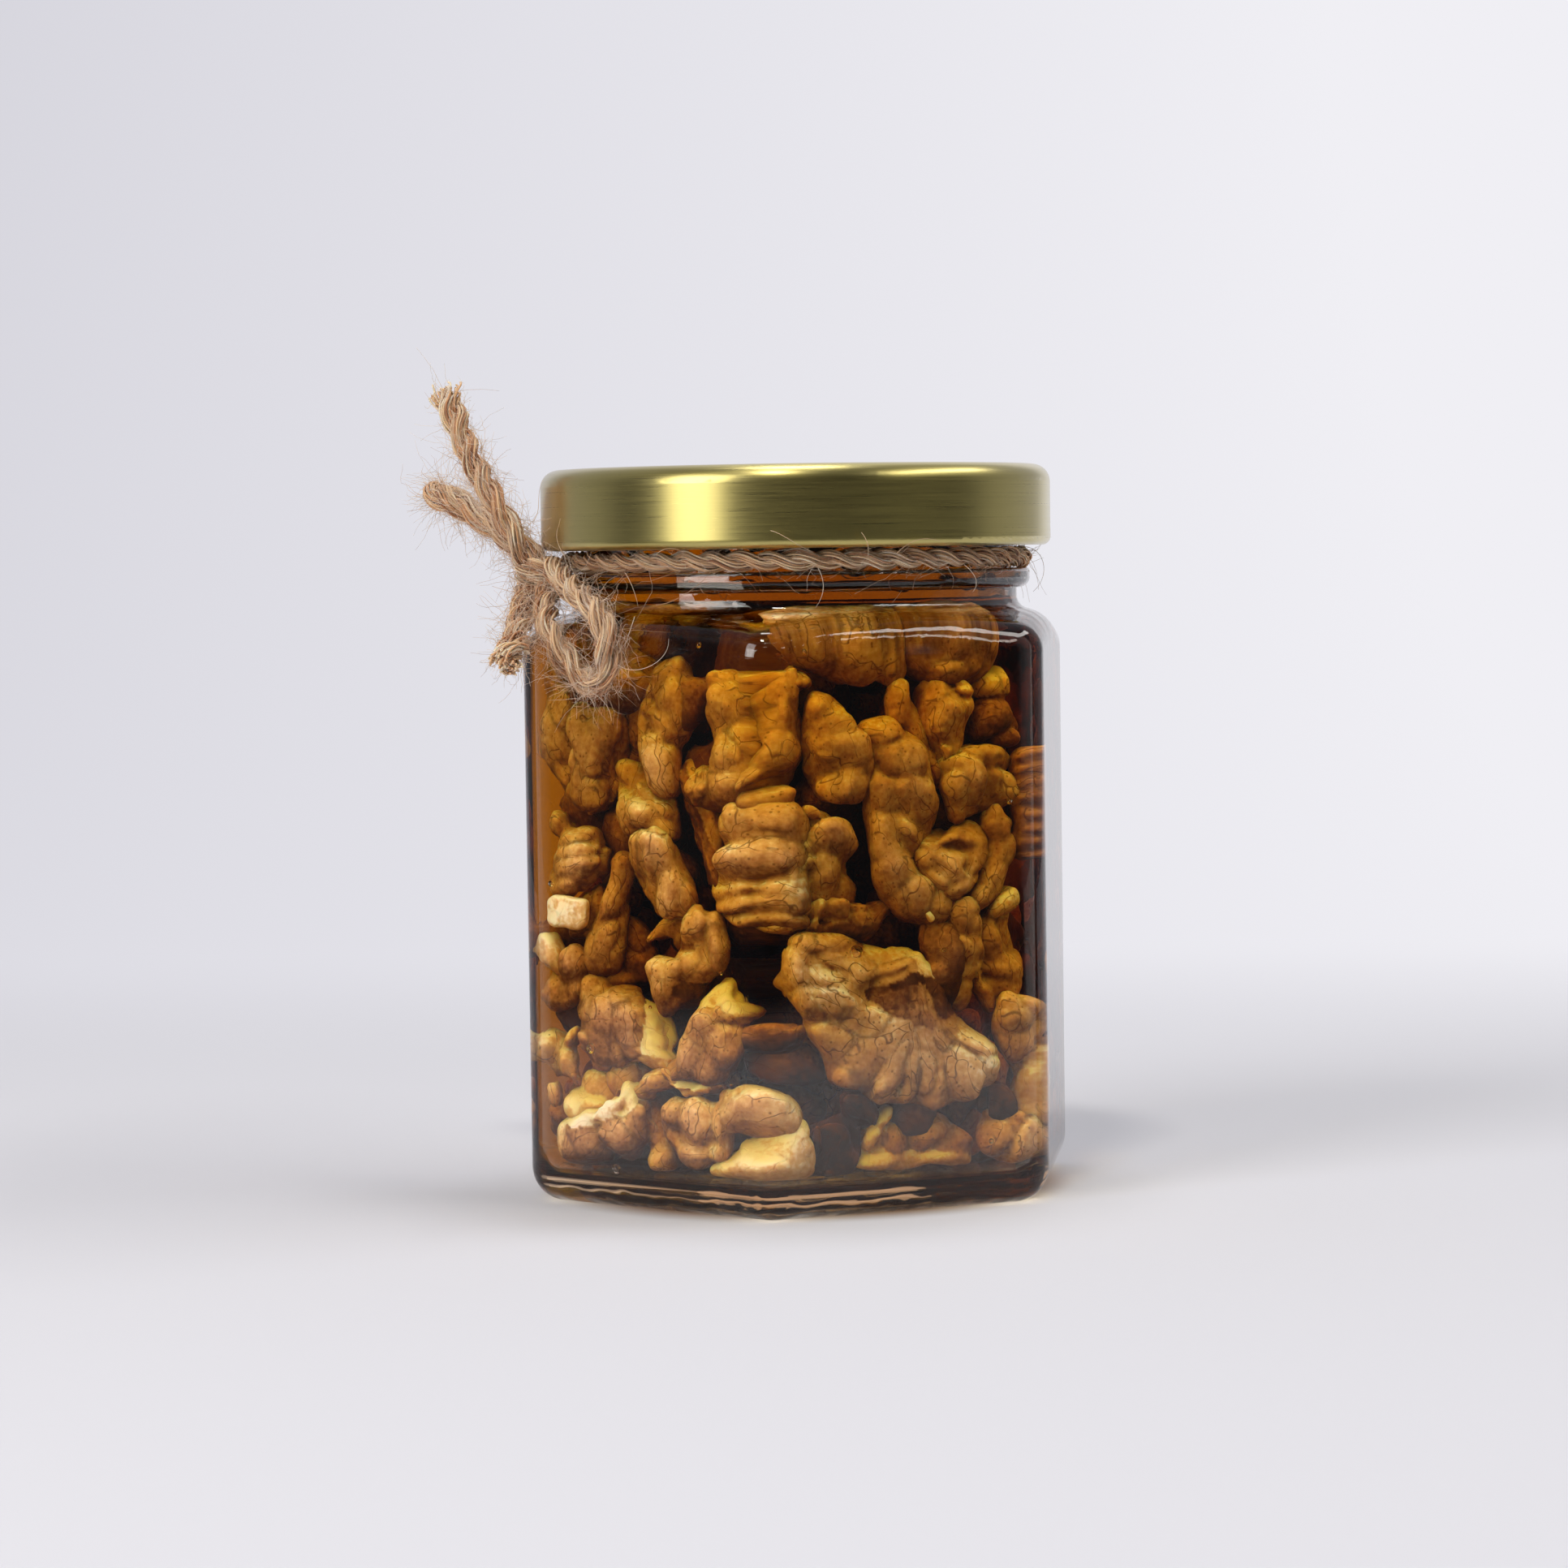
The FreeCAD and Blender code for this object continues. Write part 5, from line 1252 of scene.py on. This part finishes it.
def twine_group():
    """Geometry Nodes that lay two plies of fibres along a path and fray them at its far end."""
    tree = bpy.data.node_groups.new("twine_strands", "GeometryNodeTree")
    sockets = (
        ("Geometry", "Geometry"), ("Path", "Object"), ("Fibres", "Int"), ("Across", "Float"),
        ("Lay", "Float"), ("Fray", "Float"), ("Seed", "Int"), ("Finish", "Material"),
    )
    for name, kind in sockets:
        tree.interface.new_socket(name, in_out="INPUT", socket_type="NodeSocket" + kind)
    tree.interface.new_socket("Geometry", in_out="OUTPUT", socket_type="NodeSocketGeometry")
    given = tree.nodes.new("NodeGroupInput").outputs

    def value(operation, first, second=0.0, third=0.0):
        return add(tree, "Math", operation, _0=first, _1=second, _2=third)

    def times(vector, factor):
        return add(tree, "VectorMath", "SCALE", _0=vector, Scale=factor)

    path = add(
        tree, "GeometryNodeObjectInfo", {"transform_space": "RELATIVE"}, Object=given["Path"]
    ).outputs["Geometry"]
    fine = add(tree, "GeometryNodeResampleCurve", {"mode": "LENGTH"}, Curve=path, Length=0.6 * MM)
    copies = add(
        tree, "GeometryNodeDuplicateElements", {"domain": "SPLINE"},
        Geometry=fine, Amount=given["Fibres"],
    )
    index = copies.outputs["Duplicate Index"]

    def chance(low, high, shift):
        seed = value("ADD", given["Seed"], shift)
        node = add(
            tree, "FunctionNodeRandomValue", {"data_type": "FLOAT"},
            _2=low, _3=high, ID=index, Seed=seed,
        )
        return node.outputs[1]

    along = add(tree, "GeometryNodeSplineParameter").outputs["Length"]
    whole = add(tree, "GeometryNodeSplineLength").outputs["Length"]
    tangent = add(tree, "GeometryNodeInputTangent")
    side = add(tree, "GeometryNodeInputNormal")
    other = add(tree, "VectorMath", "CROSS_PRODUCT", _0=tangent, _1=side)
    left = value("SUBTRACT", whole, along)
    near_end = add(tree, "MapRange", SMOOTH, Value=left, From_Min=FRAY_LENGTH, From_Max=0.0)
    fray = value("MULTIPLY", near_end, given["Fray"])

    # The plies wind round the twine, and their fibres lie nearly straight along it.
    ply = value("MULTIPLY", value("MODULO", index, 2.0), math.pi)
    turn = value("MULTIPLY_ADD", value("DIVIDE", along, given["Lay"]), 2 * math.pi, ply)
    own = value("MULTIPLY_ADD", turn, 0.12, chance(0.0, 2 * math.pi, 1))
    ply_out = value("MULTIPLY", given["Across"], PLY_OUT)
    deep = value("MULTIPLY", given["Across"], PLY_DEPTH)
    fibre_out = value("MULTIPLY", deep, value("SQRT", chance(0.05, 1.0, 2)))
    open_up = value("MULTIPLY_ADD", fray, 0.35, 1.0)
    offsets = [
        times(
            way,
            value(
                "MULTIPLY",
                open_up,
                value("MULTIPLY_ADD", value(wave, own), fibre_out,
                      value("MULTIPLY", value(wave, turn), ply_out)),
            ),
        )
        for way, wave in ((side, "COSINE"), (other, "SINE"))
    ]
    noise = add(
        tree, "TexNoise", {"noise_dimensions": "4D"},
        Vector=add(tree, "CombineXYZ", X=along),
        W=value("MULTIPLY", index, 5.3), Scale=1 / (5 * MM), Detail=1.0,
    ).outputs["Color"]
    sway = add(tree, "VectorMath", "SUBTRACT", _0=noise, _1=(0.5, 0.5, 0.5))
    reach = value("MULTIPLY", given["Across"], value("MULTIPLY_ADD", fray, 0.5, FIBRE_WANDER))
    offsets.append(times(sway, reach))
    offset = offsets[0]
    for more in offsets[1:]:
        offset = add(tree, "VectorMath", "ADD", _0=offset, _1=more)
    shape = copies.outputs["Geometry"]
    for name, field in (("shade", chance(0.0, 1.0, 3)), ("frayed", fray), ("along", along)):
        shape = add(
            tree, "GeometryNodeStoreNamedAttribute", {"data_type": "FLOAT", "domain": "POINT"},
            Geometry=shape, Name=name, Value=field,
        )
    thick = value("MULTIPLY", chance(0.7, 1.35, 4), value("MULTIPLY_ADD", fray, -0.35, 1.0))
    shape = add(tree, "GeometryNodeSetCurveRadius", Curve=shape, Radius=thick)
    shape = add(tree, "GeometryNodeSetPosition", Geometry=shape, Offset=offset)
    end = value("SUBTRACT", 1.0, value("MULTIPLY", given["Fray"], chance(0.0, 0.022, 5)))
    shape = add(tree, "GeometryNodeTrimCurve", {"mode": "FACTOR"}, Curve=shape, _3=end)
    ring = add(
        tree, "GeometryNodeCurvePrimitiveCircle", Resolution=5,
        Radius=value("MULTIPLY", given["Across"], FIBRE_RADIUS),
    )
    tubes = add(tree, "GeometryNodeCurveToMesh", Curve=shape, Profile_Curve=ring, Fill_Caps=True)
    real = add(tree, "GeometryNodeRealizeInstances", Geometry=tubes)
    finished = add(tree, "GeometryNodeSetMaterial", Geometry=real, Material=given["Finish"])
    result = tree.nodes.new("NodeGroupOutput")
    tree.links.new(finished.outputs[0], result.inputs["Geometry"])
    return tree


def twined(name, tree, path, material, replaced, **settings):
    """Twine along a path, made of its fibres."""
    host = bpy.data.objects.new(name + "_host", bpy.data.meshes.new(name + "_host"))
    bpy.context.scene.collection.objects.link(host)
    modifier = host.modifiers.new("strands", "NODES")
    modifier.node_group = tree
    inputs = {"Path": path, "Finish": material, **settings}
    for item in tree.interface.items_tree:
        if item.item_type == "SOCKET" and item.in_out == "INPUT" and item.name in inputs:
            modifier[item.identifier] = inputs[item.name]
    bpy.context.view_layer.update()
    dressed = host.evaluated_get(bpy.context.evaluated_depsgraph_get())
    mesh = bpy.data.meshes.new_from_object(dressed)
    mesh.name = name
    bpy.data.objects.remove(host)
    bpy.data.objects.remove(path)
    return new_piece(name, mesh, material, replaced)


def hair_mesh(name, lines, radius):
    """Fine closed hairs along lines that have as many points each, thinner towards the tip."""
    lines = np.asarray(lines)
    count, points, _ = lines.shape
    way = np.gradient(lines, axis=1)
    way /= np.linalg.norm(way, axis=2, keepdims=True)
    side = np.cross(way, (0.36, 0.48, 0.8))
    side /= np.linalg.norm(side, axis=2, keepdims=True)
    other = np.cross(way, side)
    thick = (radius * np.linspace(1.0, 0.5, points))[None, :, None]
    rings = [
        lines + thick * (side * math.cos(a) + other * math.sin(a))
        for a in (0, 2 * math.pi / 3, 4 * math.pi / 3)
    ]
    vertices = np.stack(rings, axis=2).reshape(-1, 3)
    first = 3 * (np.arange(count)[:, None] * points + np.arange(points - 1)[None, :]).ravel()
    quads = [
        np.stack([first + k, first + (k + 1) % 3, first + 3 + (k + 1) % 3, first + 3 + k], axis=1)
        for k in range(3)
    ]
    starts = 3 * points * np.arange(count)
    ends = starts + 3 * (points - 1)
    caps = np.concatenate([
        np.stack([starts + 2, starts + 1, starts], axis=1),
        np.stack([ends, ends + 1, ends + 2], axis=1),
    ])
    mesh = bpy.data.meshes.new(name)
    mesh.from_pydata(vertices.tolist(), [], np.concatenate(quads).tolist() + caps.tolist())
    shade = np.repeat(np.random.default_rng(count).random(count), points * 3)
    along = np.tile(np.repeat(np.linspace(0, 10 * MM, points), 3), count)
    for key, values in (("shade", shade), ("frayed", shade * 0.6 + 0.4), ("along", along)):
        mesh.attributes.new(key, "FLOAT", "POINT").data.foreach_set("value", values)
    return mesh


def fuzz_lines(line, across, count, longest, seed, points=8):
    """Short curling hairs that leave the twine's surface along a line, as arrays of points."""
    chance = np.random.default_rng(seed)
    line = np.asarray(line)
    at = chance.integers(1, len(line) - 1, count)
    tangent = line[at + 1] - line[at - 1]
    tangent /= np.linalg.norm(tangent, axis=1, keepdims=True)
    # Each hair leaves at its own angle, leans one way or the other along the twine, and curls.
    # Most are short.
    out = np.cross(tangent, chance.normal(size=(count, 3)))
    out /= np.linalg.norm(out, axis=1, keepdims=True)
    lean = tangent * chance.choice((-1, 1), (count, 1)) * chance.uniform(0.8, 4.5, (count, 1))
    way = out + lean
    way /= np.linalg.norm(way, axis=1, keepdims=True)
    curl = chance.normal(size=(count, 3)) * 1.1
    reach = longest * chance.uniform(0.25, 1.0, (count, 1)) ** 2.0
    place = line[at] + out * across * 0.4
    lines = [place]
    for step in range(points - 1):
        bent = way + curl * (step / points) + chance.normal(size=(count, 3)) * 0.16
        bent /= np.linalg.norm(bent, axis=1, keepdims=True)
        place = place + bent * reach / (points - 1)
        lines.append(place)
    return np.stack(lines, axis=1)


def stray_lines(points=14):
    """The single hairs as smooth lines through their chosen points."""
    lines = []
    for route in STRAY_HAIRS:
        stops = np.array([seen_from(*place) for place in route]) * MM
        where = np.linspace(0, len(stops) - 1, points)
        bends = polynomial.polyfit(np.arange(len(stops)), stops, min(3, len(stops) - 1))
        lines.append(polynomial.polyval(where, bends).T)
    return np.array(lines)


def jute_fibre():
    """Jute: dry blond-brown bast fibres, each its own shade, paler where they fray."""
    material, tree = new_material("jute_twine")
    shade, frayed, along = (
        add(tree, "Attribute", {"attribute_name": name}).outputs["Fac"]
        for name in ("shade", "frayed", "along")
    )
    place = add(tree, "TexCoord").outputs["Object"]
    stained = add(tree, "TexNoise", Vector=place, Scale=1 / (4 * MM), Detail=3.0)
    # Each fibre keeps its shade along its length, and the twine is browner in patches.
    mixed = add(tree, "Math", "MULTIPLY_ADD", _0=stained.outputs["Fac"], _1=0.7, _2=-0.35)
    tone = add(tree, "Math", _0=shade, _1=mixed)
    lighter = add(tree, "Math", "MULTIPLY_ADD", _0=frayed, _1=0.35, _2=tone)
    colour = set_ramp(
        add(tree, "ValToRGB", Fac=lighter),
        ((0.0, "8c5d3e"), (0.25, "c89268"), (0.55, "e6b48a"), (0.85, "f4caa0"), (1.0, "fbdfbe")),
    )
    fine = add(
        tree, "TexNoise", {"noise_dimensions": "1D"},
        W=along, Scale=1 / (0.35 * MM), Detail=2.0,
    )
    bump = add(tree, "Bump", Strength=0.5, Distance=0.04 * MM, Height=fine.outputs["Fac"])
    shader = add(
        tree, "BsdfPrincipled",
        Base_Color=colour, Roughness=0.72, Specular_IOR_Level=0.3, Sheen_Weight=0.25,
        Sheen_Roughness=0.5, Subsurface_Weight=0.5, Subsurface_Radius=(1.0, 0.7, 0.45),
        Subsurface_Scale=0.8 * MM, Normal=bump,
    )
    add(tree, "OutputMaterial", Surface=shader)
    return material


def make_bow():
    """The twine: a wrap round the neck, a knot, and two lengths that each make a loop and a
    tail, with their fuzz and stray hairs."""
    jute = jute_fibre()
    tree = twine_group()
    for seed, (name, route) in enumerate(BOW_ROUTES.items()):
        path, line = twine_path("route_" + name, [bow_point(*place) for place in route])
        cord = twined(
            "twine_" + name, tree, path, jute, BOW_REPLACES[name],
            Fibres=84, Across=LOFTY, Lay=TWINE_LAY, Fray=1.0, Seed=10 * seed,
        )
        hairs = [
            fuzz_lines(line, LOFTY, count=1500, longest=8.0 * MM, seed=seed),
            fuzz_lines(line[-40:], LOFTY, count=300, longest=4.5 * MM, seed=seed + 20),
        ]
        mesh = hair_mesh("fuzz_" + name, np.concatenate(hairs), HAIR_RADIUS)
        piece = new_piece("fuzz_" + name, mesh, jute)
    ring = [
        Vector((math.cos(a) * WRAP_RADIUS, math.sin(a) * WRAP_RADIUS, WRAP_HEIGHT)) * MM
        for a in KNOT_TURN + np.linspace(WRAP_OPEN, math.tau - WRAP_OPEN, 73)
    ]
    path, line = twine_path("route_wrap", ring)
    twined(
        "twine_wrap_strands", tree, path, jute, ["twine_wrap"],
        Fibres=50, Across=BOUND, Lay=BOUND_LAY, Fray=0.0, Seed=50,
    )
    fuzz = [fuzz_lines(line, TWINE, count=800, longest=9.0 * MM, seed=7)]
    band = [
        bow_point(
            KNOT_OUT + KNOT_HALF_OUT * math.cos(a),
            KNOT_HALF_ALONG * math.sin(a),
            KNOT_UP - KNOT_DROP * a / KNOT_WINDING,
        )
        for a in np.linspace(0, KNOT_WINDING, 25)
    ]
    path, line = twine_path("route_knot", band)
    twined(
        "twine_knot_strands", tree, path, jute, ["twine_knot"],
        Fibres=60, Across=BOUND, Lay=TWINE_LAY, Fray=0.0, Seed=60,
    )
    fuzz.append(fuzz_lines(line, LOFTY, count=420, longest=5.0 * MM, seed=8))
    mesh = hair_mesh("fuzz_neck", np.concatenate(fuzz), HAIR_RADIUS)
    new_piece("fuzz_neck", mesh, jute)
    strays = hair_mesh("stray_hairs", stray_lines(), STRAY_RADIUS)
    new_piece("stray_hairs", strays, jute)


# ---------------------------------------------------------------- the whole jar
bpy.context.scene.view_settings.view_transform = "Standard"
bpy.context.scene.cycles.transparent_max_bounces = 24
make_camera()
make_bow()
make_lights()
make_room()
for node, material in (
    ("glass_jar", clear_glass()), ("lid", gold_lacquer()), ("lid_liner", sealing_compound())
):
    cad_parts[node].material_slots[0].material = material
make_honey()
make_walnuts()
make_bubbles()
